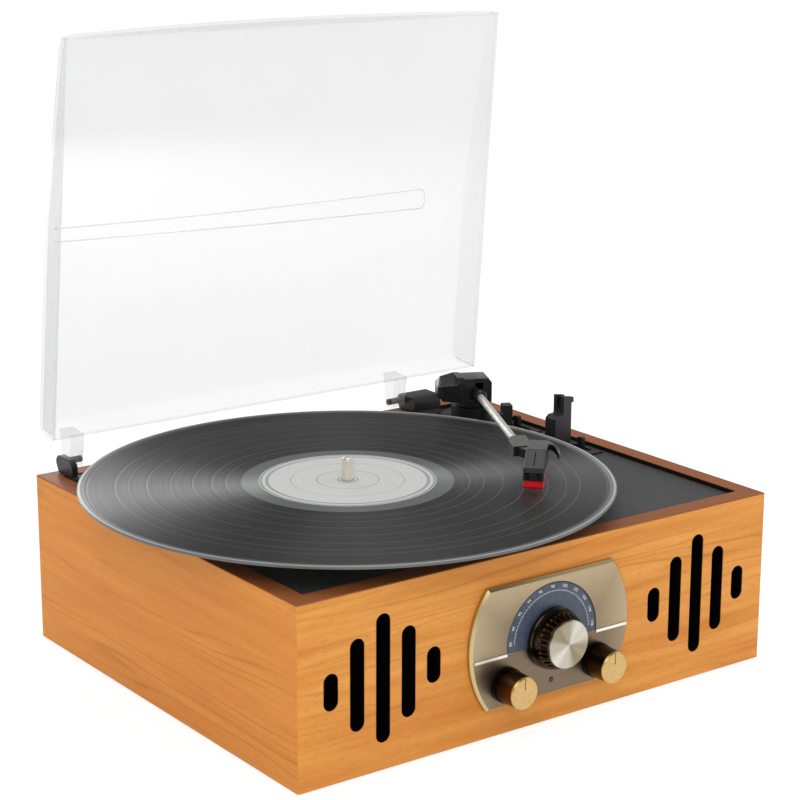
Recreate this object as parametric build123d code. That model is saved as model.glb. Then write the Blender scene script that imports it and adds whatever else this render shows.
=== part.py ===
"""Retro record player: wooden cabinet with speakers and radio dial, belt-driven platter with a
12 inch record, short pivoted tonearm and a hinged clear lid standing open.

Frame: origin at the centre of the base panel's underside, +X to the right, +Y to the back, +Z up.
All sizes in millimetres.
"""
from build123d import *
import math
import os

os.makedirs("parts", exist_ok=True)

# Cabinet
cab_w = 322.0
cab_d = 275.0
cab_h = 100.0
board_t = 12.0
corner_round = 1.2
edge_round = 0.8
base_t = 9.0
deck_t = 3.0
deck_recess = 2.5
batten = 8.0
glue_block = 18.0
foot_r = 7.0
foot_t = 1.2
foot_inset = 26.0

# Speaker slots, in two groups of five
slot_w = 9.0
slot_pitch = 16.1
slot_heights = (20.0, 50.0, 70.0, 50.0, 20.0)
slot_group_inset = 52.3
cloth_t = 0.6
cloth_side = 78.0

# Speakers
speaker_r = 35.0
speaker_cone_r = 29.0
speaker_flange_t = 2.5
speaker_depth = 26.0
magnet_r = 20.0
magnet_t = 10.0

# Dial plate and knobs
plate_r = 55.0
plate_h = 68.0
plate_t = 3.6
plate_bevel = 1.4
plate_above_middle = 0.4
scale_r = 31.1
scale_below_knob = 2.6
scale_sink = 0.8
divider_w = 1.6
divider_proud = 0.5
knob_gap = 0.6
tuning_base_r = 17.0
tuning_face_r = 13.3
tuning_len = 13.7
tuning_cap_t = 1.6
tuning_below_plate = 1.2
flutes = 28
flute_r = 0.9
small_knob_r = 8.9
small_knob_base_r = 9.8
small_knob_len = 15.5
small_knob_x = 31.3
small_knob_below_plate = 20.9
led_r = 1.6
led_below_plate = 25.4
shaft_r = 3.0
shaft_clear = 0.08
bush_r = 4.2
bush_clear = 0.3

# Platter, record and drive
spindle_x = -42.0
spindle_y = -11.0
spindle_r = 3.55
spindle_shaft_r = 3.3
spindle_pin_above_record = 0.4
spindle_above_record = 13.0
record_r = 150.8
record_t = 1.7
record_hole_clear = 0.06
label_r = 50.0
label_t = 0.15
label_recess_r = 54.0
record_edge_t = 2.1
record_edge_w = 6.0
mat_t = 1.5
mat_r = 97.0
platter_r = 100.0
platter_h = 10.0
platter_gap = 2.0
platter_wall = 3.0
drive_ring_r = 60.0
drive_ring_wall = 3.0
bearing_r = 7.0
bearing_len = 26.0
bearing_flange_r = 16.0
running_clear = 0.05
pulley_r = 4.0
pulley_flange = 1.2
pulley_offset_x = 76.0
pulley_offset_y = 14.0
belt_w = 4.0
belt_t = 0.8
motor_r = 17.5
motor_h = 24.0
motor_shaft_r = 1.0

# Tonearm
arm_x = 118.4
arm_y = 80.8
arm_yaw = 25.9
arm_above_deck = 26.5
tube_r = 2.3
tube_wall = 0.6
tube_end = 121.0
stylus_reach = 191.4
stylus_side = -6.1
headshell_turn = 20.0
headshell_len = 33.0
headshell_w = 13.4
housing_front_w = 20.0
housing_mid_w = 38.0
housing_rear_w = 24.0
housing_front = 17.0
housing_rear = 19.0
housing_h = 17.0
housing_below = 6.6
housing_chamfer = 3.6
housing_wall = 2.2
turret_r = 10.5
pedestal_r = 13.0
pedestal_gap = 0.3
pivot_shaft_r = 4.0
pivot_pin_r = 1.5
tip_gap = 0.25

# Arm rest
rest_x = 123.5
rest_y = 3.5
rest_t = 9.0
swing_out = 29.0
rest_gap = 0.4

# Switches on the deck
switch_inset = 8.0
speed_y = 0.0
stop_y = 58.0
switch_plate_w = 11.0
switch_plate_l = 30.0
switch_plate_t = 1.0
switch_slot_w = 3.2
switch_slot_l = 18.0
switch_body_l = 26.0
speed_travel = 6.0
stop_travel = 4.0

# Lid and hinges
lid_angle = 83.0
hinge_y = 132.5
hinge_above_rim = 6.5
lid_side_gap = 5.25
lid_len = 238.0
lid_back_gap = 16.5
lid_rim_drop = 5.5
lid_wall = 2.0
lid_side_front = 12.0
lid_crown_front = 30.0
lid_side_back = 26.0
lid_crown_back = 38.0
lid_inset_front = 9.0
lid_inset_back = 6.0
hinge_pin_r = 2.0
lug_r = 4.4
lug_w = 9.0
left_fin_gap = 1.0
left_fin_w = 4.0
right_block_inset = 48.5
right_block_w = 29.0

# Rear sockets
socket_plate_w = 62.0
socket_plate_h = 30.0
socket_plate_t = 1.5
socket_inset = 61.0
phono_r = 4.15
phono_len = 8.0
phono_pitch = 14.0
inlet_r = 5.5

# Heights that follow
deck_z = cab_h - deck_recess
deck_low = deck_z - deck_t
platter_low = deck_z + platter_gap
platter_top = platter_low + platter_h
mat_top = platter_top + mat_t
record_top = mat_top + record_t
spindle_top = record_top + spindle_above_record
arm_z = deck_z + arm_above_deck
inner_w = cab_w / 2 - board_t
inner_d = cab_d / 2 - board_t
front_y = -cab_d / 2
back_y = cab_d / 2
plate_face_y = front_y - plate_t
slot_z = cab_h / 2
slot_group_x = inner_w + board_t - slot_group_inset
plate_z = cab_h / 2 + plate_above_middle
tuning_z = plate_z - tuning_below_plate
scale_z = tuning_z - scale_below_knob
small_knob_z = plate_z - small_knob_below_plate
led_z = plate_z - led_below_plate
switch_x = inner_w - switch_inset
socket_x = inner_w - socket_inset
socket_z = cab_h / 2 - 2
lid_w = cab_w - 2 * lid_side_gap
hinge_z = cab_h + hinge_above_rim
left_fin_x = -inner_w + left_fin_gap + left_fin_w / 2
right_block_x = inner_w - right_block_inset


def box(x0, x1, y0, y1, z0, z1):
    """A box between two corners."""
    size = Box(x1 - x0, y1 - y0, z1 - z0)
    return Pos((x0 + x1) / 2, (y0 + y1) / 2, (z0 + z1) / 2) * size


def rod(x, y, z0, z1, r):
    """An upright cylinder."""
    return Pos(x, y, (z0 + z1) / 2) * Cylinder(r, z1 - z0)


def rod_y(x, z, y0, y1, r):
    """A cylinder along Y."""
    return Pos(x, (y0 + y1) / 2, z) * Rot(90, 0, 0) * Cylinder(r, y1 - y0)


def rod_x(y, z, x0, x1, r):
    """A cylinder along X."""
    return Pos((x0 + x1) / 2, y, z) * Rot(0, 90, 0) * Cylinder(r, x1 - x0)


def cone_y(x, z, y_back, y_front, r_back, r_front):
    """A cone along Y that narrows or widens towards the front."""
    return Pos(x, (y_back + y_front) / 2, z) * Rot(90, 0, 0) * Cone(r_back, r_front, y_back - y_front)


def prism(points, z0, z1):
    """An upright prism over a plan outline."""
    return extrude(Pos(0, 0, z0) * Polygon(*points, align=None), amount=z1 - z0, dir=(0, 0, 1))


def facing_front(y):
    """A plane at depth y, drawn in X and Z, whose normal looks to the front."""
    return Plane(origin=(0, y, 0), x_dir=(1, 0, 0), z_dir=(0, -1, 0))


def save(name, shape):
    """Write one named piece or group of like pieces."""
    shape.label = name
    export_step(shape, f"parts/{name}.step")


def group(shapes):
    """Separate solids that share one name."""
    return Compound(children=list(shapes))


# Cabinet boards, mitred at the corners

def cabinet_frame():
    outer = box(-cab_w / 2, cab_w / 2, front_y, back_y, 0, cab_h)
    outer = fillet(outer.edges().filter_by(Axis.Z), corner_round)
    outer = fillet(outer.faces().sort_by(Axis.Z)[-1].edges(), edge_round)
    return outer - box(-inner_w, inner_w, -inner_d, inner_d, -1, cab_h + 1)


def mitre_wedge(turn, half_length, half_depth):
    """The part of the plan that one board fills: a trapezium between two mitres."""
    inner = half_length - board_t
    reach = half_depth + 1
    plan = [(-half_length - 1, -reach), (half_length + 1, -reach), (inner, -half_depth + board_t)]
    plan.append((-inner, -half_depth + board_t))
    return Rot(0, 0, turn) * prism(plan, -1, cab_h + 1)


def slots():
    cuts = []
    for side in (-1, 1):
        for index, height in enumerate(slot_heights):
            x = side * slot_group_x + (index - 2) * slot_pitch
            outline = Pos(x, slot_z) * Rot(0, 0, 90) * SlotOverall(height, slot_w)
            cuts.append(extrude(facing_front(-inner_d + 1) * outline, amount=board_t + 2))
    return cuts


def shaft_holes(radius, y0, y1):
    holes = [rod_y(0, tuning_z, y0, y1, radius)]
    for side in (-1, 1):
        holes.append(rod_y(side * small_knob_x, small_knob_z, y0, y1, radius))
    return holes


def make_cabinet():
    frame = cabinet_frame()
    front = frame & mitre_wedge(0, cab_w / 2, cab_d / 2)
    for cut in slots():
        front -= cut
    for cut in shaft_holes(bush_r + bush_clear, front_y - 1, -inner_d + 1):
        front -= cut
    front -= rod_y(0, led_z, front_y - 1, -inner_d + 1, led_r + 0.2)
    save("front_board", front)

    back = frame & mitre_wedge(180, cab_w / 2, cab_d / 2)
    back -= box(socket_x - socket_plate_w / 2 + 6, socket_x + socket_plate_w / 2 - 6,
                inner_d - 1, back_y + 1, socket_z - 9, socket_z + 9)
    save("back_board", back)

    save("right_board", frame & mitre_wedge(90, cab_d / 2, cab_w / 2))
    save("left_board", frame & mitre_wedge(-90, cab_d / 2, cab_w / 2))

    base = box(-inner_w, inner_w, -inner_d, inner_d, 0, base_t)
    save("base_panel", base)

    strip_low = deck_low - batten
    long_x = inner_w
    long_y = inner_d
    battens = [
        box(-long_x, long_x, -long_y, -long_y + batten / 2, strip_low, deck_low),
        box(-long_x, long_x, long_y - batten / 2, long_y, strip_low, deck_low),
        box(-long_x, -long_x + batten, -long_y + batten / 2, long_y - batten / 2, strip_low, deck_low),
        box(long_x - batten, long_x, -long_y + batten / 2, long_y - batten / 2, strip_low, deck_low),
    ]
    for y in (speed_y, stop_y):
        half = switch_body_l / 2 + 1
        battens[3] -= box(inner_w - batten - 1, inner_w + 1, y - half, y + half, strip_low - 1, deck_low + 1)
    for side in (-1, 1):
        battens[0] -= rod_y(side * slot_group_x, slot_z, -inner_d - 1, -inner_d + batten, speaker_r + 1)
    pieces = list(battens[0].solids()) + battens[1:3] + list(battens[3].solids())
    for sx in (-1, 1):
        corner = [(sx * inner_w, inner_d), (sx * (inner_w - glue_block), inner_d),
                  (sx * inner_w, inner_d - glue_block)]
        pieces.append(prism(corner, base_t, strip_low))
    save("cabinet_battens", group(pieces))

    feet = []
    screws = []
    for sx in (-1, 1):
        for sy in (-1, 1):
            x = sx * (cab_w / 2 - foot_inset)
            y = sy * (cab_d / 2 - foot_inset)
            pad = rod(x, y, -foot_t, 0, foot_r)
            feet.append(chamfer(pad.faces().sort_by(Axis.Z)[0].edges(), 0.4))
            screws.append(base_screw(sx * (inner_w - 5), sy * (inner_d - 5)))
    save("feet", group(feet))
    save("screws", group(screws + socket_screws()))


def base_screw(x, y):
    """A low screw head under the base panel's corner."""
    return rod(x, y, -0.6, 0, 3.4)


# Deck plate with its openings

def make_deck():
    deck = box(-inner_w, inner_w, -inner_d, inner_d, deck_low, deck_z)
    deck -= rod(spindle_x, spindle_y, deck_low - 1, deck_z + 1, bearing_r + 0.1)
    pulley_x = spindle_x + pulley_offset_x
    pulley_y = spindle_y + pulley_offset_y
    deck -= rod(pulley_x, pulley_y, deck_low - 1, deck_z + 1, pulley_r + 3)
    deck -= rod(arm_x, arm_y, deck_low - 1, deck_z + 1, pivot_shaft_r + 3)
    for y in (speed_y, stop_y):
        deck -= box(switch_x - switch_slot_w / 2 - 0.5, switch_x + switch_slot_w / 2 + 0.5,
                    y - switch_slot_l / 2 - 1, y + switch_slot_l / 2 + 1, deck_low - 1, deck_z + 1)
    save("deck_plate", deck)


# Speakers behind the slots

def speaker_cloth(side):
    x = side * slot_group_x
    half = cloth_side / 2
    return box(x - half, x + half, -inner_d, -inner_d + cloth_t, base_t + 2, deck_low - batten - 0.4)


def speaker_frame(side):
    """A pressed basket with four windows and the magnet riveted to its back."""
    x = side * slot_group_x
    front = -inner_d + cloth_t
    neck_y = front + speaker_depth
    profile = [(speaker_cone_r, 0), (speaker_r, 0), (speaker_r, speaker_flange_t),
               (speaker_cone_r + 2, speaker_flange_t), (magnet_r - 3, speaker_depth),
               (9, speaker_depth), (9, speaker_depth - 2), (magnet_r - 5, speaker_depth - 2),
               (speaker_cone_r, speaker_flange_t + 1)]
    basket = revolve(Plane.XZ * Polygon(*profile, align=None), Axis.Z)
    basket = Pos(x, front, slot_z) * Rot(-90, 0, 0) * basket
    for turn in (45, 135, 225, 315):
        window = box(-5, 5, front + speaker_flange_t + 3, neck_y - 4, 14, 40)
        basket -= Pos(x, 0, slot_z) * Rot(0, turn, 0) * window
    magnet = rod_y(x, slot_z, neck_y, neck_y + magnet_t, magnet_r)
    return basket + fillet(magnet.edges().group_by(Axis.Y)[-1], 1.5)


def speaker_cone(side):
    cone_t = 0.8
    cone_front = 1.2
    cone = [(speaker_cone_r - 0.2, cone_front), (speaker_cone_r - 0.2, cone_front + cone_t),
            (9.5, 15 + cone_t), (0.01, 11 + cone_t), (0.01, 11), (9.5, 15)]
    diaphragm = revolve(Plane.XZ * Polygon(*cone, align=None), Axis.Z)
    return Pos(side * slot_group_x, -inner_d + cloth_t, slot_z) * Rot(-90, 0, 0) * diaphragm


def make_speakers():
    save("grille_cloths", group([speaker_cloth(-1), speaker_cloth(1)]))
    save("speaker_frames", group([speaker_frame(-1), speaker_frame(1)]))
    save("speaker_cones", group([speaker_cone(-1), speaker_cone(1)]))


# Dial plate on the front

def plate_outline(shrink=0.0):
    disc = Pos(0, plate_z) * Circle(plate_r - shrink)
    return disc & (Pos(0, plate_z) * Rectangle(2 * plate_r, plate_h - 2 * shrink))


def half_disc(radius):
    """The dial scale's disc round the knob's axis, cut off level a little below it."""
    disc = Pos(0, tuning_z) * Circle(radius)
    return disc & (Pos(0, scale_z + radius) * Rectangle(3 * radius, 2 * radius))


def make_dial():
    body = extrude(facing_front(front_y) * plate_outline(), amount=plate_t)
    body = chamfer(body.faces().sort_by(Axis.Y)[0].edges(), plate_bevel)
    for cut in shaft_holes(bush_r + bush_clear, plate_face_y - 1, front_y + 1):
        body -= cut
    body -= rod_y(0, led_z, plate_face_y - 1, front_y + 1, led_r)
    recess = extrude(facing_front(plate_face_y + scale_sink) * half_disc(scale_r), amount=2)
    body -= recess
    reach = math.sqrt(plate_r ** 2 - (plate_z - scale_z) ** 2) - plate_bevel - 0.6
    for side in (-1, 1):
        x0 = side * math.sqrt(scale_r ** 2 - scale_below_knob ** 2)
        x1 = side * reach
        body += box(min(x0, x1), max(x0, x1), plate_face_y - divider_proud, plate_face_y + 0.4,
                    scale_z - divider_w, scale_z)
    save("dial_plate", body)

    scale = extrude(facing_front(plate_face_y + scale_sink) * half_disc(scale_r - 0.15), amount=0.5)
    scale -= rod_y(0, tuning_z, plate_face_y - 1, front_y, bush_r + bush_clear)
    save("dial_scale", scale)

    lens = rod_y(0, led_z, plate_face_y - 0.3, front_y + 4, led_r - 0.05)
    save("indicator_lens", fillet(lens.edges().group_by(Axis.Y)[0], 0.5))


def make_knobs():
    back = plate_face_y - knob_gap
    face = back - tuning_len
    grip_front = face + tuning_cap_t
    grip = cone_y(0, tuning_z, back, grip_front, tuning_base_r, tuning_face_r + 0.5)
    for index in range(flutes):
        turn = 360 / flutes * index
        a = math.radians(turn)
        x0 = (tuning_base_r - 0.3) * math.cos(a)
        z0 = (tuning_base_r - 0.3) * math.sin(a)
        x1 = (tuning_face_r + 0.9) * math.cos(a)
        z1 = (tuning_face_r + 0.9) * math.sin(a)
        start = Vector(x0, back - 4.4, tuning_z + z0)
        stop = Vector(x1, grip_front - 0.2, tuning_z + z1)
        line = stop - start
        groove = Plane(origin=start, z_dir=line) * Circle(flute_r)
        grip -= extrude(groove, amount=line.length + 2)
    skirt = cone_y(0, tuning_z, back, back - 2.2, tuning_base_r + 0.3, tuning_base_r + 0.1)
    grip += skirt
    grip -= rod_y(0, tuning_z, grip_front + 3, back + 1, shaft_r)
    save("tuning_knob", grip)
    cap = rod_y(0, tuning_z, face, grip_front, tuning_face_r)
    cap = chamfer(cap.edges().group_by(Axis.Y)[0], 0.7)
    save("tuning_knob_cap", cap)

    for side, name in ((-1, "function"), (1, "volume")):
        x = side * small_knob_x
        front = back - small_knob_len
        knob = cone_y(x, small_knob_z, back - 1.5, front, small_knob_r + 0.5, small_knob_r)
        knob = chamfer(knob.edges().group_by(Axis.Y)[0], 0.7)
        knob += rod_y(x, small_knob_z, back - 2.2, back, small_knob_base_r)
        knob -= rod_y(x, small_knob_z, front + 5, back + 1, shaft_r)
        pointer = box(x - 0.4, x + 0.4, front - 1, front + 0.5, small_knob_z + 2, small_knob_z + small_knob_r)
        knob -= pointer
        save(f"{name}_knob", knob)


def control_body(x, z, half, depth, name):
    """A control behind the front board: a bush through the board, a body and a turning shaft."""
    board_back = -inner_d
    bush_front = plate_face_y + scale_sink + 0.8
    body = box(x - half, x + half, board_back + 0.3, board_back + depth, z - half, z + half)
    body = fillet(body.edges().filter_by(Axis.Y), 2.0)
    body += rod_y(x, z, bush_front, board_back + 1, bush_r)
    body -= rod_y(x, z, bush_front - 1, board_back + depth - 2, shaft_r + shaft_clear)
    save(f"{name}_control", body)
    shaft_front = plate_face_y - knob_gap - 8
    shaft = rod_y(x, z, shaft_front, board_back + depth - 2.4, shaft_r)
    save(f"{name}_shaft", shaft)


def make_controls():
    control_body(0, tuning_z, 11.0, 18.0, "tuning")
    control_body(-small_knob_x, small_knob_z, 9.0, 12.0, "function")
    control_body(small_knob_x, small_knob_z, 9.0, 12.0, "volume")


# Amplifier board on the base panel

def make_electronics():
    y = 40.0
    low = base_t + 7.6
    posts = [rod(px, py, base_t, base_t + 6, 3.0) for px in (20, 110) for py in (y - 28, y + 28)]
    board = box(12, 118, y - 35, y + 35, base_t + 6, low)
    heat_sink = box(30, 52, y - 8, y - 5, low, low + 18)
    capacitors = [rod(px, y + 12, low, low + 16, 6.5) for px in (70, 88)]
    chip = box(60, 74, y - 20, y - 10, low, low + 2.4)
    coil = box(84, 104, y - 24, y - 12, low, low + 10)
    save("amplifier_board", group([board, heat_sink, chip, coil] + posts + capacitors))


# Rear sockets

def make_sockets():
    half_w = socket_plate_w / 2
    half_h = socket_plate_h / 2
    rear = back_y + socket_plate_t
    plate = box(socket_x - half_w, socket_x + half_w, back_y, rear, socket_z - half_h, socket_z + half_h)
    plate = fillet(plate.edges().filter_by(Axis.Y), 3.0)
    phono_x = (socket_x - 18, socket_x - 18 + phono_pitch)
    inlet_x = socket_x + 16
    for x in phono_x:
        plate -= rod_y(x, socket_z, back_y - 1, rear + 1, phono_r + 0.6)
    plate -= rod_y(inlet_x, socket_z, back_y - 1, rear + 1, inlet_r)
    save("socket_plate", plate)
    jacks = []
    for x in phono_x:
        jack = rod_y(x, socket_z, rear, rear + phono_len, phono_r)
        jack += rod_y(x, socket_z, back_y - 3, rear, phono_r + 0.6)
        jack += rod_y(x, socket_z, rear, rear + 1, phono_r + 1.6)
        jack -= rod_y(x, socket_z, rear + 1, rear + phono_len + 1, 1.7)
        jacks.append(jack)
    save("phono_sockets", group(jacks))
    inlet = rod_y(inlet_x, socket_z, back_y - 9, rear - 0.2, inlet_r)
    inlet -= rod_y(inlet_x, socket_z, back_y - 7.5, rear + 1, 3.2)
    inlet += rod_y(inlet_x, socket_z, back_y - 8, rear - 1, 1.0)
    save("power_inlet", inlet)


def socket_screws():
    """Pan heads at the socket plate's corners."""
    rear = back_y + socket_plate_t
    screws = []
    for sx in (-1, 1):
        for sz in (-1, 1):
            x = socket_x + sx * (socket_plate_w / 2 - 5)
            z = socket_z + sz * (socket_plate_h / 2 - 5)
            head = rod_y(x, z, rear, rear + 1.6, 2.6)
            screws.append(fillet(head.edges().group_by(Axis.Y)[-1], 0.7))
    return screws


# Platter, record and belt drive

def turned(points):
    """A turned piece about the spindle axis from a half section in radius and height."""
    face = Plane.XZ * Polygon(*points, align=None)
    return Pos(spindle_x, spindle_y, 0) * revolve(face, Axis.Z)


def make_platter():
    low = platter_low
    ceiling = platter_top - platter_wall
    section = [(spindle_shaft_r, low + 1), (12, low + 1), (14, ceiling), (drive_ring_r - drive_ring_wall, ceiling),
               (drive_ring_r - drive_ring_wall, low + 0.6), (drive_ring_r, low + 0.6), (drive_ring_r, ceiling),
               (platter_r - 4, ceiling), (platter_r - 4, low), (platter_r - 0.8, low), (platter_r, low + 0.8),
               (platter_r, platter_top - 1.2), (platter_r - 1.2, platter_top), (spindle_shaft_r, platter_top)]
    save("platter", turned(section))

    mat = [(spindle_r + 0.3, platter_top), (mat_r, platter_top), (mat_r, mat_top - 0.5),
           (mat_r - 0.5, mat_top), (spindle_r + 0.3, mat_top)]
    save("slip_mat", turned(mat))

    shaft_low = deck_low - bearing_len + 4
    pin_low = record_top + spindle_pin_above_record
    shaft = rod(spindle_x, spindle_y, shaft_low, pin_low, spindle_shaft_r)
    shaft += rod(spindle_x, spindle_y, pin_low, spindle_top, spindle_r)
    shaft = fillet(shaft.edges().group_by(Axis.Z)[-1], 1.6)
    save("spindle", shaft)

    bearing = rod(spindle_x, spindle_y, deck_low - bearing_len, deck_z + 1.5, bearing_r)
    bearing += rod(spindle_x, spindle_y, deck_low - 3, deck_low, bearing_flange_r)
    bearing -= rod(spindle_x, spindle_y, shaft_low - 0.05, deck_z + 3, spindle_shaft_r + running_clear)
    save("spindle_bearing", bearing)


def make_record():
    hole = spindle_r + record_hole_clear
    top = record_top
    low = mat_top
    land = top - 0.35
    dish = top - 0.3
    section = [(hole, low), (record_r - 1.0, low), (record_r, low + 0.75), (record_r, top - 0.45),
               (record_r - 0.45, top), (record_r - record_edge_w, land + 0.1), (label_recess_r + 8, land),
               (label_recess_r, dish), (label_r + 1, dish), (label_r + 0.5, dish), (hole, dish)]
    save("record", turned(section))
    ring = [(hole, dish), (label_r, dish), (label_r, dish + label_t), (hole, dish + label_t)]
    save("record_label", turned(ring))


def belt_loop(r_ring, r_pulley):
    """The closed line round the drive ring, at the origin, and the pulley, ahead of it on X."""
    distance = math.hypot(pulley_offset_x, pulley_offset_y)
    lean = math.acos((r_ring - r_pulley) / distance)
    across = math.cos(lean)
    up = math.sin(lean)
    end = distance + r_pulley * across
    with BuildSketch() as sketch:
        with BuildLine():
            Line((r_ring * across, r_ring * up), (end, r_pulley * up))
            ThreePointArc((end, r_pulley * up), (distance + r_pulley, 0), (end, -r_pulley * up))
            Line((end, -r_pulley * up), (r_ring * across, -r_ring * up))
            ThreePointArc((r_ring * across, -r_ring * up), (-r_ring, 0), (r_ring * across, r_ring * up))
        make_face()
    return sketch.sketch


def make_drive():
    x = spindle_x + pulley_offset_x
    y = spindle_y + pulley_offset_y
    belt_low = platter_low + 1.4
    touch = 0.06
    outside = belt_loop(drive_ring_r + touch + belt_t, pulley_r + touch + belt_t)
    inside = belt_loop(drive_ring_r + touch, pulley_r + touch)
    belt = extrude(outside, amount=belt_w, dir=(0, 0, 1)) - extrude(inside, amount=belt_w, dir=(0, 0, 1))
    lean = math.degrees(math.atan2(pulley_offset_y, pulley_offset_x))
    save("drive_belt", Pos(spindle_x, spindle_y, belt_low) * Rot(0, 0, lean) * belt)

    pulley = rod(x, y, belt_low - 0.8, belt_low + belt_w + 0.4, pulley_r)
    pulley += rod(x, y, belt_low - 1.6, belt_low - 0.4, pulley_r + pulley_flange)
    motor_top = deck_low - 4.0
    pulley += rod(x, y, motor_top - motor_h + 3, belt_low, motor_shaft_r)
    save("motor_pulley", pulley)

    motor = rod(x, y, motor_top - motor_h, motor_top, motor_r)
    motor = fillet(motor.edges().group_by(Axis.Z)[0], 2.0)
    motor += rod(x, y, motor_top, motor_top + 2, 4.0)
    motor -= rod(x, y, motor_top - motor_h + 2.9, motor_top + 3, motor_shaft_r + running_clear)
    save("motor", motor)
    bolt_x = motor_r + 5
    bracket = box(x - bolt_x - 5, x + bolt_x + 5, y - 8, y + 8, motor_top, motor_top + 1.5)
    bracket -= rod(x, y, motor_top - 1, motor_top + 3, 4.2)
    for side in (-1, 1):
        bracket += rod(x + side * bolt_x, y, motor_top + 1.5, deck_low, 4.0)
    save("motor_bracket", bracket)


# Tonearm: drawn in its own frame, whose Y runs back from the stylus through the pivot

arm_frame = Pos(arm_x, arm_y, 0) * Rot(0, 0, -arm_yaw)


def gem_outline(shrink):
    """The six-sided plan of the pivot housing."""
    front = housing_front_w / 2 - shrink * 0.62
    mid = housing_mid_w / 2 - shrink
    rear = housing_rear_w / 2 - shrink * 0.62
    return [(-front, -housing_front + shrink), (front, -housing_front + shrink), (mid, 0),
            (rear, housing_rear - shrink), (-rear, housing_rear - shrink), (-mid, 0)]


def gem(shrink, low, high, bevel):
    """The housing's body with a bevel at its top and its bottom."""
    body = prism(gem_outline(shrink), low + bevel, high - bevel)
    for near, far in ((high - bevel, high), (low + bevel, low)):
        wide = Pos(0, 0, near) * Polygon(*gem_outline(shrink), align=None)
        narrow = Pos(0, 0, far) * Polygon(*gem_outline(shrink + bevel), align=None)
        body += loft([wide, narrow])
    return body


def make_arm_base():
    plate = rod(0, 0, deck_z, deck_z + 4, pedestal_r + 4)
    plate += box(0, 22, -24, -10, deck_z, deck_z + 3)
    seat = arm_z - housing_below - pedestal_gap - 5.0
    base = plate + rod(0, 0, deck_z + 4, seat, pedestal_r)
    base += box(16, 22, -21, -13, deck_z + 3, deck_z + 18)
    base += box(10, 16, -22, -17, deck_z + 3, deck_z + 13)
    base += rod(0, 0, deck_low - 12, deck_z, pivot_shaft_r + 2.8)
    base -= rod(0, 0, deck_low - 13, seat + 1, pivot_shaft_r + running_clear)
    save("arm_base", arm_frame * base)

    low = seat + pedestal_gap
    turret = rod(0, 0, low, arm_z - housing_below, turret_r)
    turret += rod(0, 0, deck_low - 14, low, pivot_shaft_r)
    save("arm_turret", arm_frame * turret)


def make_arm_housing():
    low = arm_z - housing_below
    high = low + housing_h
    body = gem(0, low, high, housing_chamfer)
    body -= prism(gem_outline(housing_wall + housing_chamfer), low + 1.5, high - housing_wall)
    slot = box(-3.6, 3.6, -housing_front - 2, -housing_front + 9, arm_z - 3.4, arm_z + 6.6)
    body -= slot
    half_pin = housing_mid_w / 2 - housing_wall - housing_chamfer + 1
    body += rod_x(0, arm_z, -half_pin, half_pin, pivot_pin_r)
    save("arm_housing", arm_frame * body)


def make_arm_tube():
    block = box(-5, 5, -6, 6, arm_z - 3.6, arm_z + 3.6)
    block = fillet(block.edges().filter_by(Axis.Z), 1.0)
    block -= rod_x(0, arm_z, -10, 10, pivot_pin_r + running_clear)
    block -= rod_y(0, arm_z, -7, -4, tube_r)
    save("arm_pivot_block", arm_frame * block)
    tube = rod_y(0, arm_z, -tube_end, -4, tube_r)
    tube -= rod_y(0, arm_z, -tube_end - 1, -30, tube_r - tube_wall)
    save("arm_tube", arm_frame * tube)
    collar_back = -housing_front - 1.2
    collar = cone_y(0, arm_z, collar_back, collar_back - 8, 6.0, 4.2)
    collar -= rod_y(0, arm_z, collar_back - 9, collar_back + 1, tube_r)
    save("arm_collar", arm_frame * collar)


def headshell_frame():
    return arm_frame * Pos(stylus_side, -stylus_reach, 0) * Rot(0, 0, -headshell_turn)


def hood_profile(shrink, reach):
    """The hood's side view: flat on top, rolled down at the front, in Y and Z."""
    top = record_top + 19.8 - shrink
    front = -7.0 + shrink
    rear = headshell_len - 7.0 - reach
    low = record_top + 9.0
    with BuildSketch(Plane.YZ) as sketch:
        with BuildLine():
            Line((rear, low), (rear, top))
            Line((rear, top), (front + 13, top))
            ThreePointArc((front + 13, top), (front + 4.6, top - 2.6), (front, low - 0.5))
            Line((front, low - 0.5), (front + 3, low))
            Line((front + 3, low), (rear, low))
        make_face()
    return sketch.sketch


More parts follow.
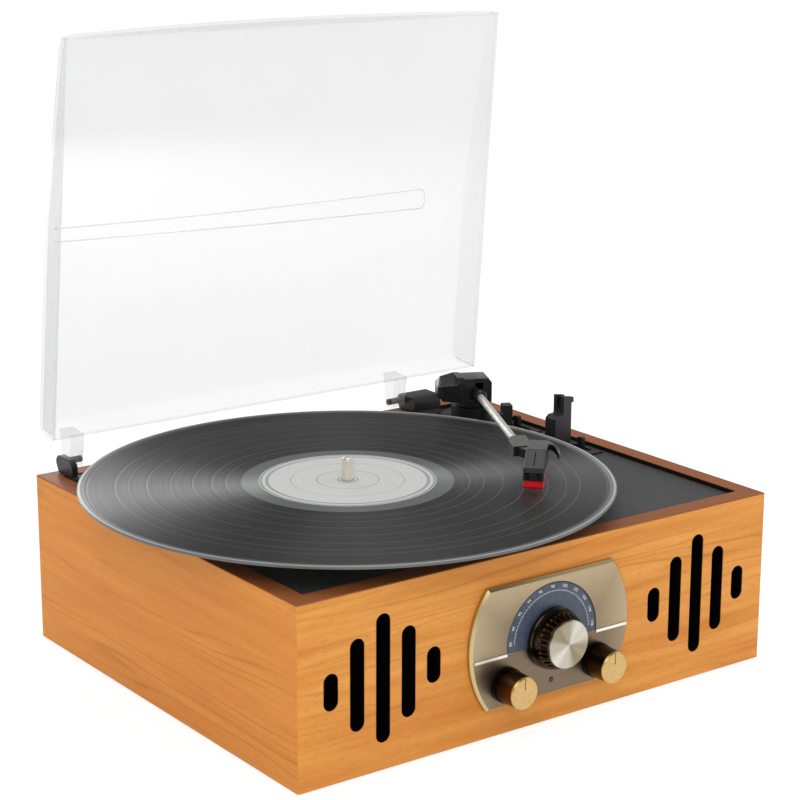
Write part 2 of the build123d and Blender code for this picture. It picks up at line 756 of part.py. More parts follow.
def make_headshell():
    neck = box(-5.2, 5.2, -tube_end - 31, -tube_end + 2, arm_z - 4.2, arm_z + 3.6)
    neck = chamfer(neck.edges().filter_by(Axis.Y), 1.6)
    neck -= rod_y(0, arm_z, -tube_end, -tube_end + 3, tube_r)
    link = prism([(-5.2, -tube_end - 24), (5.2, -tube_end - 24), (14.2, -tube_end - 39.5),
                  (2.4, -tube_end - 43.5), (-5.2, -tube_end - 32)], arm_z - 1.5, arm_z + 3.0)
    neck += link

    place = headshell_frame()
    half = headshell_w / 2
    hood = extrude(hood_profile(0, 0), amount=half, both=True)
    inside = extrude(hood_profile(1.6, 2.0), amount=half - 1.6, both=True)
    hood -= Pos(0, 0, -1.0) * inside
    hood = place * hood
    save("headshell_neck", arm_frame * neck - hood)
    lift_path = [(half - 0.8, 8.0), (half + 7, 8.5), (half + 12, 5.0), (half + 12, 2.8), (half + 6.6, 5.4),
                 (half - 0.8, 4.6)]
    finger = prism(lift_path, record_top + 16.6, record_top + 18.4)
    finger += box(half + 10.2, half + 12, 2.9, 5.2, record_top + 13.0, record_top + 18.4)
    save("headshell", hood + place * finger)

    cartridge = box(-4.6, 4.6, -1.0, 12, record_top + 6.4, record_top + 14.5)
    cartridge = chamfer(cartridge.edges().filter_by(Axis.X).group_by(Axis.Z)[-1], 1.2)
    cartridge += box(-4.0, 4.0, 8.5, 10.5, record_top + 14, record_top + 17.2)
    save("cartridge", place * cartridge)
    guard_low = record_top + 1.6
    guard = box(-5.4, 5.4, -4.0, 8, guard_low, record_top + 6.4)
    guard = chamfer(guard.edges().filter_by(Axis.X).group_by(Axis.Z)[0], 1.4)
    guard -= box(-2.0, 2.0, -5, 6, guard_low - 1, guard_low + 2.2)
    guard += rod(0, 0, record_top + tip_gap, record_top + 4.4, 0.45)
    save("stylus", place * guard)


# Arm rest with its locking clip

def make_arm_rest():
    tube_low = arm_z - tube_r
    cradle = tube_low - rest_gap
    turn = Rot(0, 0, swing_out - arm_yaw)
    place = Pos(rest_x, rest_y, 0) * turn
    dx = arm_x - rest_x
    dy = arm_y - rest_y
    angle = math.radians(swing_out - arm_yaw)
    # The tube's line at the outer stop, in the rest's own frame.
    tube_x = dx * math.cos(angle) + dy * math.sin(angle)
    post_left = tube_x + tube_r + rest_gap
    half = rest_t / 2
    foot = box(tube_x - 6, post_left + 9, -half, half, deck_z, deck_z + 3)
    with BuildSketch(Plane.XZ) as side:
        with BuildLine():
            Line((tube_x - 4, deck_z + 3), (tube_x - 4, cradle - 2.0))
            Line((tube_x - 4, cradle - 2.0), (tube_x - 1.5, cradle))
            Line((tube_x - 1.5, cradle), (post_left - 1.2, cradle))
            ThreePointArc((post_left - 1.2, cradle), (post_left - 0.3, cradle + 0.4), (post_left, cradle + 1.4))
            Line((post_left, cradle + 1.4), (post_left, arm_z + 9))
            Line((post_left, arm_z + 9), (post_left + 6.5, arm_z + 8))
            Line((post_left + 6.5, arm_z + 8), (post_left + 6.5, deck_z + 3))
            Line((post_left + 6.5, deck_z + 3), (tube_x - 4, deck_z + 3))
        make_face()
    post = extrude(side.sketch, amount=half, both=True)
    pin_x = post_left + 3.6
    pin_z = arm_z + 4.6
    rest = foot + post
    rest -= box(post_left - 1, post_left + 8, -1.8, 1.8, arm_z + 1.0, arm_z + 10)
    pin = rod_y(pin_x, pin_z, -half, half, 0.9)
    rest -= pin
    save("arm_rest", place * (rest + pin))
    clip = rod_y(pin_x, pin_z, -1.5, 1.5, 1.9)
    tab = Polygon((pin_x, pin_z - 1.9), (pin_x + 7.5, pin_z - 1.2), (pin_x + 7.5, pin_z + 1.9),
                  (pin_x, pin_z + 1.9), align=None)
    clip += extrude(Plane.XZ * tab, amount=1.5, both=True)
    clip -= rod_y(pin_x, pin_z, -2, 2, 0.9 + running_clear)
    save("rest_clip", place * clip)


# Slide switches on the deck

def switch_plate(y):
    half_w = switch_plate_w / 2
    half_l = switch_plate_l / 2
    top = deck_z + switch_plate_t
    plate = box(switch_x - half_w, switch_x + half_w, y - half_l, y + half_l, deck_z, top)
    plate = fillet(plate.edges().filter_by(Axis.Z), 1.5)
    return plate - box(switch_x - switch_slot_w / 2, switch_x + switch_slot_w / 2,
                       y - switch_slot_l / 2, y + switch_slot_l / 2, deck_z - 1, top + 1)


def switch_body(y):
    low = deck_low - 9
    half = switch_body_l / 2
    body = box(switch_x - 5, switch_x + 5, y - half, y + half, low, deck_low)
    return body - box(switch_x - 2.6, switch_x + 2.6, y - half + 2, y + half - 2, low + 2, deck_low + 1)


def switch_lever(y):
    low = deck_low - 9
    top = deck_z + switch_plate_t + 6.5
    lever = box(switch_x - 1.2, switch_x + 1.2, y - 2.4, y + 2.4, low + 6, top)
    lever = fillet(lever.edges().filter_by(Axis.X).group_by(Axis.Z)[-1], 1.0)
    return lever + box(switch_x - 2.4, switch_x + 2.4, y - 2.4, y + 2.4, low + 2.1, low + 6)


def make_switches():
    save("switch_plates", group([switch_plate(speed_y), switch_plate(stop_y)]))
    save("switch_bodies", group([switch_body(speed_y), switch_body(stop_y)]))
    save("speed_lever", switch_lever(speed_y))
    save("stop_lever", switch_lever(stop_y + stop_travel))


# Lid: drawn closed about its hinge axis, then swung open

def lid_section(y, side, crown, inset, shrink):
    half = lid_w / 2 - shrink
    with BuildSketch(Plane(origin=(0, y, 0), x_dir=(1, 0, 0), z_dir=(0, -1, 0))) as sketch:
        with BuildLine():
            low = -lid_rim_drop
            top = low + side - shrink
            peak = low + crown - shrink
            Line((-half, low), (-half + inset, top))
            ThreePointArc((-half + inset, top), (0, peak), (half - inset, top))
            Line((half - inset, top), (half, low))
            Line((half, low), (-half, low))
        make_face()
    return sketch.sketch


def lid_form(shrink):
    back = -lid_back_gap - shrink
    front = -lid_back_gap - lid_len + shrink
    return loft([lid_section(back, lid_side_back, lid_crown_back, lid_inset_back, shrink),
                 lid_section(front, lid_side_front, lid_crown_front, lid_inset_front, shrink)], ruled=True)


def hinge_places():
    """The left edge of each lid lug: beside the left fin and beside the right block."""
    return (left_fin_x + left_fin_w / 2 + 0.3, right_block_x - 0.3 - lug_w)


def make_lid():
    shell = lid_form(0) - Pos(0, 0, -0.01) * lid_form(lid_wall)
    for x in hinge_places():
        arm_pts = [(-lid_back_gap - 1.0, -lid_rim_drop), (0, -lug_r), (0, lug_r),
                   (-lid_back_gap - 1.0, lug_r + 4)]
        web = extrude(Plane(origin=(x, 0, 0), x_dir=(0, 1, 0), z_dir=(1, 0, 0)) *
                      Polygon(*arm_pts, align=None), amount=lug_w)
        lug = web + rod_x(0, 0, x, x + lug_w, lug_r)
        lug -= rod_x(0, 0, x - 1, x + lug_w + 1, hinge_pin_r + running_clear)
        shell += lug
    opened = Pos(0, hinge_y, hinge_z) * Rot(-lid_angle, 0, 0) * shell
    save("lid", opened)


def make_hinges():
    low = deck_z
    fin_x0 = left_fin_x - left_fin_w / 2
    fin_x1 = left_fin_x + left_fin_w / 2
    axis_y = hinge_y
    lug_x = hinge_places()
    fin = box(fin_x0, fin_x1, inner_d - 12, inner_d - 0.2, low, hinge_z + 3)
    fin += box(fin_x0, fin_x1, inner_d - 8, axis_y + 4, cab_h + 0.2, hinge_z + 4)
    fin += box(fin_x0, fin_x1 + 14, inner_d - 14, inner_d - 0.2, low, low + 2)
    fin -= rod_x(axis_y, hinge_z, fin_x0 - 1, fin_x1 + 1, hinge_pin_r)
    save("hinge_bracket_left", fin)
    left_pin = rod_x(axis_y, hinge_z, fin_x0, lug_x[0] + lug_w + 1.0, hinge_pin_r)

    x0 = right_block_x
    x1 = right_block_x + right_block_w
    block = box(x0, x1, inner_d - 16, inner_d - 0.2, low, hinge_z + 4.5)
    block += box(x0, x1 - 8, inner_d - 8, axis_y + 4, cab_h + 0.2, hinge_z + 5.5)
    block = block - rod_x(axis_y, hinge_z, x0 - 1, x1 + 1, hinge_pin_r)
    save("hinge_bracket_right", block)
    right_pin = rod_x(axis_y, hinge_z, lug_x[1] - 1.0, x1 - 8, hinge_pin_r)
    save("hinge_pins", group([left_pin, right_pin]))


make_cabinet()
make_deck()
make_speakers()
make_dial()
make_knobs()
make_controls()
make_electronics()
make_sockets()
make_platter()
make_record()
make_drive()
make_arm_base()
make_arm_housing()
make_arm_tube()
make_headshell()
make_arm_rest()
make_switches()
make_lid()
make_hinges()
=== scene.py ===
"""Looks for the retro record player: materials, record, knobs, dial printing, tonearm, lid and studio.

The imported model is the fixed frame. Lengths in the code are in millimetres and become metres in mm().
"""
import math

import bmesh
import bpy
from bpy.props import FloatProperty, FloatVectorProperty, IntProperty, PointerProperty
from mathutils import Matrix, Vector


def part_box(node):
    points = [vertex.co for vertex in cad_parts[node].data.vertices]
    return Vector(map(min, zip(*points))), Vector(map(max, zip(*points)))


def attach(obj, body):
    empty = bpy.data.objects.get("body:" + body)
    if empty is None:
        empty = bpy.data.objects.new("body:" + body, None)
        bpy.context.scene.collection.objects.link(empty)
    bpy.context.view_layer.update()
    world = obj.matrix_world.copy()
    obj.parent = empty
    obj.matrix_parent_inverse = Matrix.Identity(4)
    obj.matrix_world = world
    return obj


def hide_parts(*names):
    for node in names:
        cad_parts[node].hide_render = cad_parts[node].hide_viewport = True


bl_info = {
    "name": "Record player looks",
    "version": (1, 0, 0),
    "blender": (4, 5, 0),
    "location": "View3D > Sidebar > Record player",
    "description": "Finishes, record, knobs, dial, tonearm, lid, hinges and studio for the record player",
    "category": "Object",
}

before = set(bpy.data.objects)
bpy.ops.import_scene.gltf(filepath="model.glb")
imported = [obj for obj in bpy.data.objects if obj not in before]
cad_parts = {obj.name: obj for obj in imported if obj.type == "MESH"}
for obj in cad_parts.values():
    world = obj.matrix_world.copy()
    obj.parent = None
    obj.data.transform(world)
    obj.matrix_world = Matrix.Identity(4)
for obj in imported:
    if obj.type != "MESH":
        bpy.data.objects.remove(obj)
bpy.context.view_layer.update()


def mm(value):
    """Millimetres to metres."""
    return value / 1000.0


def linear(hex_colour):
    """An sRGB hex colour as linear RGBA."""
    channels = [int(hex_colour[i:i + 2], 16) / 255 for i in (1, 3, 5)]
    return tuple([c / 12.92 if c <= 0.04045 else ((c + 0.055) / 1.055) ** 2.4 for c in channels] + [1.0])


# Short words for the nodes used most: the type, its settings, the inputs fed in order, the output taken
SHORT_NODES = {
    "noise": ("ShaderNodeTexNoise", {}, ("Vector", "Scale", "Detail", "Roughness"), "Fac"),
    "remap": ("ShaderNodeMapRange", {}, ("Value", "From Min", "From Max", "To Min", "To Max"), 0),
    "blend": ("ShaderNodeMix", {"data_type": "RGBA"}, (0, 6, 7), 2),
}


def add(tree, kind, *values, **settings):
    """Adds a node, sets it up and feeds its inputs from values or from other nodes' sockets.

    A word of SHORT_NODES, or a Math operation in capitals, takes its inputs in order and gives its result.
    Any other kind takes one dict of inputs and gives the node."""
    output = None
    inputs = values[0] if values else {}
    if kind.isupper():
        inputs, output = dict(enumerate(values)), 0
        kind, settings = "ShaderNodeMath", {"operation": kind}
    elif kind in SHORT_NODES:
        kind, settings, slots, output = SHORT_NODES[kind]
        inputs = dict(zip(slots, values))
    node = tree.nodes.new(kind)
    for name, value in settings.items():
        setattr(node, name, value)
    for name, value in inputs.items():
        if isinstance(value, bpy.types.NodeSocket):
            tree.links.new(value, node.inputs[name])
        else:
            node.inputs[name].default_value = value
    return node if output is None else node.outputs[output]


def in_scene(name, data):
    """A new object that holds the data, linked to the scene."""
    item = bpy.data.objects.new(name, data)
    bpy.context.scene.collection.objects.link(item)
    return item


def plain_mesh(carrier):
    """What an object shows after its modifiers, as a plain mesh. The object is removed."""
    graph = bpy.context.evaluated_depsgraph_get()
    made = bpy.data.meshes.new_from_object(carrier.evaluated_get(graph), depsgraph=graph)
    bpy.data.objects.remove(carrier)
    return made


def coat(mesh, material):
    """Gives a mesh one material in place of what it has."""
    mesh.materials.clear()
    mesh.materials.append(material)


# Places on the object, in millimetres, read from the frame

def low_corner(node):
    return Vector(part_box(node)[0]) * 1000.0


def high_corner(node):
    return Vector(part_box(node)[1]) * 1000.0


def middle(node):
    return (low_corner(node) + high_corner(node)) / 2


FRONT_Y = low_corner("front_board").y
SCALE_FACE_Y = low_corner("dial_scale").y
SCALE_CUT_Z = low_corner("dial_scale").z
PLATE_FACE_Y = SCALE_FACE_Y - 0.3
TUNING_Z = middle("tuning_knob").z
TUNING_FRONT_Y = low_corner("tuning_knob_cap").y
SMALL_KNOB_FRONT_Y = low_corner("volume_knob").y
SPINDLE = middle("spindle").xy
RECORD_TOP = high_corner("record").z
RECORD_R = high_corner("record").x - SPINDLE.x
RIM_Z = high_corner("front_board").z - 0.8

# The tonearm: its pivot and turn on the deck, and in its own frame, whose Y runs back along the tube, the
# tube's end and the stylus
PIVOT = (118.4, 80.8)
ARM_YAW = 25.9
ARM_Z = 124.0
TUBE_SLEW = -1.1
TUBE_END = 130.5
TUBE_R = 2.3
STYLUS = (-6.1, -191.4)
HEADSHELL_TURN = 20.0

# The lid, drawn closed and turned open about its hinge (depth, height). It leans a degree further back
# than the solid does. Its wall starts below the hinge and ends at a back and a front depth.
HINGE = (132.5, 106.5)
LID_ANGLE = 84.0
LID_FOOT = -5.5
LID_BACK = -16.5
LID_FRONT = -251.5
LID_CORNER = 3.0
LUG_STARTS = (-143.7, 91.2)
LUG_WIDTH = 9.0
LUG_R = 4.4
# Depths of the two runs of the moulded bead at its left end, middle and right end
RIB_FAR = (-138.1, -132.8, -135.5)
RIB_NEAR = (-130.1, -123.4, -122.9)
RIB_ENDS = (-146.0, 118.0)

# The record: the radius of its hole, and those of the smooth gaps between its tracks
HOLE_R = 3.61
TRACK_GAPS = (68.5, 76.5, 87.2, 99.5, 112.6, 122.7, 130.2, 145.6)


def new_material(name):
    """An empty material and its node tree."""
    material = bpy.data.materials.new(name)
    material.use_nodes = True
    material.node_tree.nodes.clear()
    return material, material.node_tree


def finish_material(material, shader_inputs, bump=None, **settings):
    """Closes a material with a Principled shader, and a bump made from a height where there is one."""
    tree = material.node_tree
    if bump:
        height, depth_mm = bump
        bump_node = add(tree, "ShaderNodeBump", {"Height": height, "Distance": mm(depth_mm), "Strength": 1.0})
        shader_inputs = dict(shader_inputs, Normal=bump_node.outputs[0])
    shader = add(tree, "ShaderNodeBsdfPrincipled", shader_inputs, **settings)
    add(tree, "ShaderNodeOutputMaterial", {"Surface": shader.outputs[0]})
    return material


def place(tree, scale, centre=(0, 0, 0), turn=(0, 0, 0)):
    """Object coordinates moved to a centre in millimetres, turned, and scaled per metre."""
    coordinates = add(tree, "ShaderNodeTexCoord").outputs["Object"]
    shift = add(tree, "ShaderNodeVectorMath", {0: coordinates, 1: tuple(-mm(c) for c in centre)}).outputs[0]
    return add(tree, "ShaderNodeMapping", {"Vector": shift, "Rotation": turn, "Scale": scale}).outputs[0]


# Finishes

def grain(tree, per_metre, detail, rough=0.5, centre=(0, 0, 0)):
    """Noise over the piece, with its features so many per metre along each axis."""
    return add(tree, "noise", place(tree, per_metre, centre), 1.0, detail, rough)


def toned(tree, value, low, high, first, second):
    """A colour that goes from the first tone to the second as the value goes from low to high."""
    return add(tree, "blend", add(tree, "remap", value, low, high), first, second)


SLOTTED_VENEER = "cherry_veneer_front"


def cherry_veneer(name, along):
    """Lacquered cherry veneer, sliced and satin varnished: honey ground, long darker growth lines that
    waver, short fine pores, a soft sheen. The sawn top edge takes more stain and is redder."""
    look = bpy.context.scene.player_look
    material, tree = new_material(name)
    # The grain runs along X or Y: features are about fifteen times longer that way.
    stretch = (1.0, 14.0, 14.0) if along == "X" else (14.0, 1.0, 14.0)
    broad = grain(tree, [s * 3.2 for s in stretch], 2.0)
    tone = grain(tree, [s * 9.0 for s in stretch], 4.0, 0.55, (31, 17, 5))
    warp = add(tree, "remap", broad, 0.3, 0.7, -1.0, 1.0)
    # Growth lines: one about every 7 mm across the grain, bent by the broad figure.
    across = add(tree, "ShaderNodeSeparateXYZ", {0: place(tree, (1, 1, 1))})
    height = add(tree, "MULTIPLY", across.outputs["Z"], 900.0)
    depth = add(tree, "MULTIPLY", across.outputs["Y" if along == "X" else "X"], 260.0)
    phase = add(tree, "ADD", add(tree, "ADD", height, depth), add(tree, "MULTIPLY", warp, 9.0))
    ripple = add(tree, "SINE", phase)
    line = add(tree, "POWER", add(tree, "remap", ripple, -1.0, 1.0), 9.0)
    patchy = grain(tree, [s * 5.0 for s in stretch], 2.0, centre=(3, 40, 9))
    patchy = add(tree, "remap", patchy, 0.42, 0.62)
    line = add(tree, "MULTIPLY", line, patchy)
    # Pores: about 0.25 mm wide and 4 mm long.
    pores = add(tree, "remap", grain(tree, [s * 190.0 for s in stretch], 1.0), 0.60, 0.74)
    ground = toned(tree, tone, 0.3, 0.7, linear("#DC8A3A"), tuple(look.veneer_colour))
    if along == "Y":
        ground = add(tree, "blend", 0.45, ground, linear("#E58A2C"))
    grained = add(tree, "blend", add(tree, "MULTIPLY", line, 0.40), ground, linear("#AD6426"))
    pored = add(tree, "blend", add(tree, "MULTIPLY", pores, 0.30), grained, linear("#A05C22"))
    top = add(tree, "remap", across.outputs["Z"], mm(RIM_Z), mm(RIM_Z + 0.5))
    colour = add(tree, "blend", add(tree, "MULTIPLY", top, 0.9), pored, linear("#84492A"))
    # The inner faces over the deck are stained dark.
    stain = linear("#1E130C")
    if along == "Y":
        inner = add(tree, "ABSOLUTE", across.outputs["X"])
        inner = add(tree, "LESS_THAN", inner, mm(low_corner("right_board").x + 0.3))
        colour = add(tree, "blend", inner, colour, stain)
    elif name != SLOTTED_VENEER:
        inner = add(tree, "LESS_THAN", across.outputs["Y"], mm(low_corner("back_board").y + 0.3))
        colour = add(tree, "blend", inner, colour, stain)
    if name == SLOTTED_VENEER:
        colour = add(tree, "blend", sprayed_slots(tree, across), colour, linear("#040404"))
    roughness = add(tree, "remap", tone, 0.2, 0.8, 0.42, 0.55)
    bump = (add(tree, "SUBTRACT", add(tree, "remap", tone, 0.0, 1.0, 0.0, 0.3), pores), 0.04)
    inputs = {"Base Color": colour, "Roughness": roughness, "IOR": 1.5, "Specular IOR Level": 0.18}
    return finish_material(material, inputs, bump)


def sprayed_slots(tree, parts):
    """1 on the walls of the slots and on the inside of the board, which are sprayed black."""
    behind = add(tree, "remap", parts.outputs["Y"], mm(FRONT_Y + 0.25), mm(FRONT_Y + 0.45))
    side = add(tree, "ABSOLUTE", parts.outputs["X"])
    inside = add(tree, "LESS_THAN", side, mm(high_corner("front_board").x - 4.0))
    level = add(tree, "LESS_THAN", parts.outputs["Z"], mm(RIM_Z + 0.2))
    raised = add(tree, "GREATER_THAN", parts.outputs["Z"], mm(6.0))
    return add(tree, "MULTIPLY", add(tree, "MULTIPLY", behind, inside),
                     add(tree, "MULTIPLY", level, raised))


# Plain finishes that waver between two tones: grain per metre, detail and roughness of the noise, the part
# of it that is used, darker and lighter tone, shader inputs, depth of the relief in millimetres
MOTTLED = {
    # Bare medium-density fibreboard: dull brown with fine fibre flecks.
    "raw_fibreboard": ((900, 3.0, 0.5), (0.35, 0.65), "#6F5134", "#8A6946", {"Roughness": 0.85}, 0.05),
    # White screen-printing ink: thin, slightly uneven.
    "white_ink": ((900, 2.0, 0.5), (0.3, 0.7), "#C9CFDB", "#F2F4F7", {"Roughness": 0.5}, 0.0),
    # Transparent red styrene moulding: light passes through it, and a painted glow from emission stands in
    # for that light inside it.
    "clear_red_styrene": ((300, 2.0, 0.5), (0.3, 0.7), "#B80F16", "#E8252C",
                          {"Roughness": 0.14, "IOR": 1.55, "Emission Color": linear("#D8181F"),
                           "Emission Strength": 0.12}, 0.0),
    # Indicator lens of smoked styrene, unlit: a glossy drop, nearly black.
    "smoked_styrene": ((300, 2.0, 0.5), (0.3, 0.7), "#0B0505", "#1C0B0A",
                       {"Roughness": 0.08, "IOR": 1.59}, 0.0),
    # Glass-epoxy board under green solder mask with a fine weave.
    "circuit_board": ((1200, 2.0, 0.5), (0.3, 0.7), "#1D4A2A", "#2D6B3C", {"Roughness": 0.4}, 0.01),
    # Pulp paper cone: dark grey, fibrous.
    "paper_cone": ((1500, 4.0, 0.7), (0.3, 0.7), "#232323", "#3C3B39", {"Roughness": 0.9}, 0.08),
}


def mottled(name):
    """One of the plain finishes in MOTTLED."""
    (per_metre, detail, rough), (low, high), dark, light, inputs, depth_mm = MOTTLED[name]
    material, tree = new_material(name)
    fleck = grain(tree, (per_metre,) * 3, detail, rough)
    colour = toned(tree, fleck, low, high, linear(dark), linear(light))
    relief = (fleck, depth_mm) if depth_mm else None
    return finish_material(material, {"Base Color": colour, **inputs}, relief)


def leatherette():
    """Grained vinyl covering glued to the deck: black, pebbled about 0.7 mm, low sheen."""
    material, tree = new_material("black_leatherette")
    cells = add(tree, "ShaderNodeTexVoronoi", {"Vector": place(tree, (1400, 1400, 1400)), "Scale": 1.0})
    soft = grain(tree, (500,) * 3, 3.0)
    height = add(tree, "ADD", cells.outputs["Distance"], add(tree, "MULTIPLY", soft, 0.6))
    colour = toned(tree, height, 0.3, 1.1, linear("#262627"), linear("#474746"))
    roughness = add(tree, "remap", soft, 0.3, 0.7, 0.45, 0.62)
    return finish_material(material, {"Base Color": colour, "Roughness": roughness}, (height, 0.12))


def moulded_plastic(name, hex_colour, roughness, grain_mm=0.5, depth_mm=0.012):
    """Injection-moulded ABS: even colour, a faint spark-eroded texture that breaks up the highlight."""
    material, tree = new_material(name)
    texture = grain(tree, (1 / mm(grain_mm),) * 3, 2.0)
    wear = grain(tree, (60,) * 3, 2.0)
    base = linear(hex_colour)
    lifted = tuple(min(1.0, c * 1.25 + 0.004) for c in base[:3]) + (1.0,)
    colour = toned(tree, wear, 0.35, 0.7, base, lifted)
    rough = add(tree, "remap", texture, 0.3, 0.7, roughness * 0.85, roughness * 1.15)
    inputs = {"Base Color": colour, "Roughness": rough, "IOR": 1.53}
    return finish_material(material, inputs, (texture, depth_mm))


def top_lit_plastic():
    """Satin ABS of the headshell: black, with a painted highlight that greys the faces that look up."""
    material, tree = new_material("satin_black_abs")
    facing = add(tree, "ShaderNodeSeparateXYZ", {0: add(tree, "ShaderNodeNewGeometry").outputs["Normal"]})
    # Painted highlight: faces that look up are lifted from black to a mottled grey.
    painted_top_light = add(tree, "remap", facing.outputs["Z"], 0.965, 0.995)
    mottle_noise = grain(tree, (900,) * 3, 2.0)
    painted_top_tone = toned(tree, mottle_noise, 0.3, 0.7, linear("#4A4A49"), linear("#5E5E5C"))
    colour = add(tree, "blend", painted_top_light, linear("#161617"), painted_top_tone)
    return finish_material(material, {"Base Color": colour, "Roughness": 0.4, "IOR": 1.53}, (mottle_noise, 0.001))


def brushed_metal(name, hex_colour, roughness, stretch, anisotropy=0.5, depth_mm=0.006, metallic=1.0):
    """Brushed metal: hairlines about 0.15 mm apart along one direction that smear the reflections."""
    material, tree = new_material(name)
    hair = grain(tree, stretch, 3.0, 0.6)
    cloud = grain(tree, (25,) * 3, 2.0)
    base = linear(hex_colour)
    darker = tuple(c * 0.82 for c in base[:3]) + (1.0,)
    colour = toned(tree, cloud, 0.35, 0.65, darker, base)
    rough = add(tree, "remap", hair, 0.3, 0.7, roughness * 0.8, roughness * 1.25)
    inputs = {"Base Color": colour, "Metallic": metallic, "Roughness": rough, "Anisotropic": anisotropy}
    return finish_material(material, inputs, (hair, depth_mm))


def antique_brass():
    """Antiqued brass plate, brushed and lacquered: a champagne face with painted reflection and shade that go
    from straw at the top and ends to umber towards the bottom and under the divider, polished straw bevel,
    and a bright white-gold divider."""
    look = bpy.context.scene.player_look
    material, tree = new_material("antique_brass")
    # Hairlines run across the plate, about 0.15 mm apart.
    hair = grain(tree, (60, 3000, 6000), 3.0, 0.6)
    cloud = grain(tree, (18,) * 3, 2.0)
    facing = add(tree, "ShaderNodeSeparateXYZ", {0: add(tree, "ShaderNodeNewGeometry").outputs["Normal"]})
    flat = add(tree, "remap", add(tree, "ABSOLUTE", facing.outputs["Y"]), 0.9, 0.97)
    parts = add(tree, "ShaderNodeSeparateXYZ", {0: place(tree, (1, 1, 1))})
    height = add(tree, "ADD", parts.outputs["Z"], add(tree, "MULTIPLY", cloud, mm(14)))
    side = add(tree, "ABSOLUTE", parts.outputs["X"])
    # Painted reflection and shade: the face is lighter at the top and at both ends, darker towards the
    # bottom, and darkest just under the divider.
    upper = add(tree, "remap", height, mm(62), mm(92))
    ends = add(tree, "remap", side, mm(26), mm(54))
    under = add(tree, "remap", parts.outputs["Z"], mm(SCALE_CUT_Z), mm(SCALE_CUT_Z - 1.0), 0.0, 0.5)
    thin = add(tree, "SUBTRACT", add(tree, "MAXIMUM", upper, ends), under)
    face = toned(tree, thin, -0.1, 0.9, linear("#7F6F5C"), tuple(look.plate_colour))
    hairline = add(tree, "MULTIPLY", add(tree, "remap", hair, 0.55, 0.75), 0.25)
    face = add(tree, "blend", hairline, face, linear("#4F4234"))
    colour = add(tree, "blend", flat, linear("#CDBB8A"), face)
    proud = add(tree, "remap", parts.outputs["Y"], mm(PLATE_FACE_Y - 0.15), mm(PLATE_FACE_Y - 0.35))
    colour = add(tree, "blend", proud, colour, linear("#F4EFE2"))
    rough = add(tree, "remap", hair, 0.25, 0.75, 0.26, 0.42)
    inputs = {"Base Color": colour, "Metallic": 1.0, "Roughness": rough}
    return finish_material(material, inputs, (hair, 0.006))


def bronze_knob():
    """Small knob, machined and electroplated: dark bronze skirt, brushed gold face and a bright edge."""
    material, tree = new_material("bronze_and_gold")
    along = add(tree, "ShaderNodeSeparateXYZ", {0: place(tree, (1, 1, 1))}).outputs["Y"]
    front = SMALL_KNOB_FRONT_Y
    gold = add(tree, "remap", along, mm(front + 1.5), mm(front + 1.0))
    hair = grain(tree, (260, 3000, 3000), 3.0, 0.6)
    face = toned(tree, hair, 0.3, 0.7, linear("#C6A064"), linear("#DDBD84"))
    skirt = add(tree, "blend", add(tree, "remap", along, mm(front + 13), mm(front + 3)), linear("#221A10"),
                         linear("#5E4628"))
    colour = add(tree, "blend", gold, skirt, face)
    rough = add(tree, "remap", hair, 0.3, 0.7, 0.26, 0.38)
    inputs = {"Base Color": colour, "Metallic": 1.0, "Roughness": rough}
    return finish_material(material, inputs, (hair, 0.005))


def turned_metal(name, hex_colour, roughness, anisotropy, fan=0.0):
    """Spun metal: concentric tool marks stretch each highlight into a fan about the centre. A fan above zero
    adds a painted highlight in two lobes round the centre.
    """
    material, tree = new_material(name)
    uv = add(tree, "ShaderNodeUVMap", uv_map="UVMap").outputs[0]
    stretched = add(tree, "ShaderNodeMapping", {"Vector": uv, "Scale": (0.6, 90, 1)}).outputs[0]
    rings = add(tree, "noise", stretched, 1.0, 2.0)
    tangent = add(tree, "ShaderNodeTangent", direction_type="UV_MAP", uv_map="UVMap").outputs[0]
    base = linear(hex_colour)
    darker = tuple(c * 0.8 for c in base[:3]) + (1.0,)
    inputs = {"Base Color": toned(tree, rings, 0.35, 0.65, darker, base), "Metallic": 1.0,
              "Roughness": add(tree, "remap", rings, 0.3, 0.7, roughness * 0.85, roughness * 1.2),
              "Anisotropic": anisotropy, "Anisotropic Rotation": 0.25, "Tangent": tangent}
    if fan:
        # Painted highlight: two light lobes and faint spokes laid on the colour by angle round the centre.
        turn = add(tree, "MULTIPLY", add(tree, "ShaderNodeSeparateXYZ", {0: uv}).outputs["X"], math.tau)
        lobes = add(tree, "SINE", add(tree, "MULTIPLY", turn, 2.0))
        fine = add(tree, "SINE", add(tree, "MULTIPLY", turn, 7.0))
        sheen = add(tree, "remap", lobes, -1.0, 1.0, 0.0, fan)
        sheen = add(tree, "ADD", sheen, add(tree, "MULTIPLY", fine, 0.08))
        inputs["Base Color"] = add(tree, "blend", sheen, inputs["Base Color"], linear("#FFFDF4"))
    return finish_material(material, inputs)


def round_spindle(tree):
    """Distance from the spindle's axis in millimetres."""
    spot = place(tree, (1000, 1000, 1000), (SPINDLE[0], SPINDLE[1], 0))
    flat = add(tree, "ShaderNodeVectorMath", {0: spot, 1: (1, 1, 0)}, operation="MULTIPLY").outputs[0]
    return add(tree, "ShaderNodeVectorMath", {0: flat}, operation="LENGTH").outputs["Value"]


def ring_mark(tree, radius, ring_r, half_width, soft=0.25):
    """1 on a ring of the given radius, 0 away from it, in millimetres."""
    gap = add(tree, "ABSOLUTE", add(tree, "SUBTRACT", radius, ring_r))
    return add(tree, "remap", gap, half_width, half_width + soft, 1.0, 0.0)


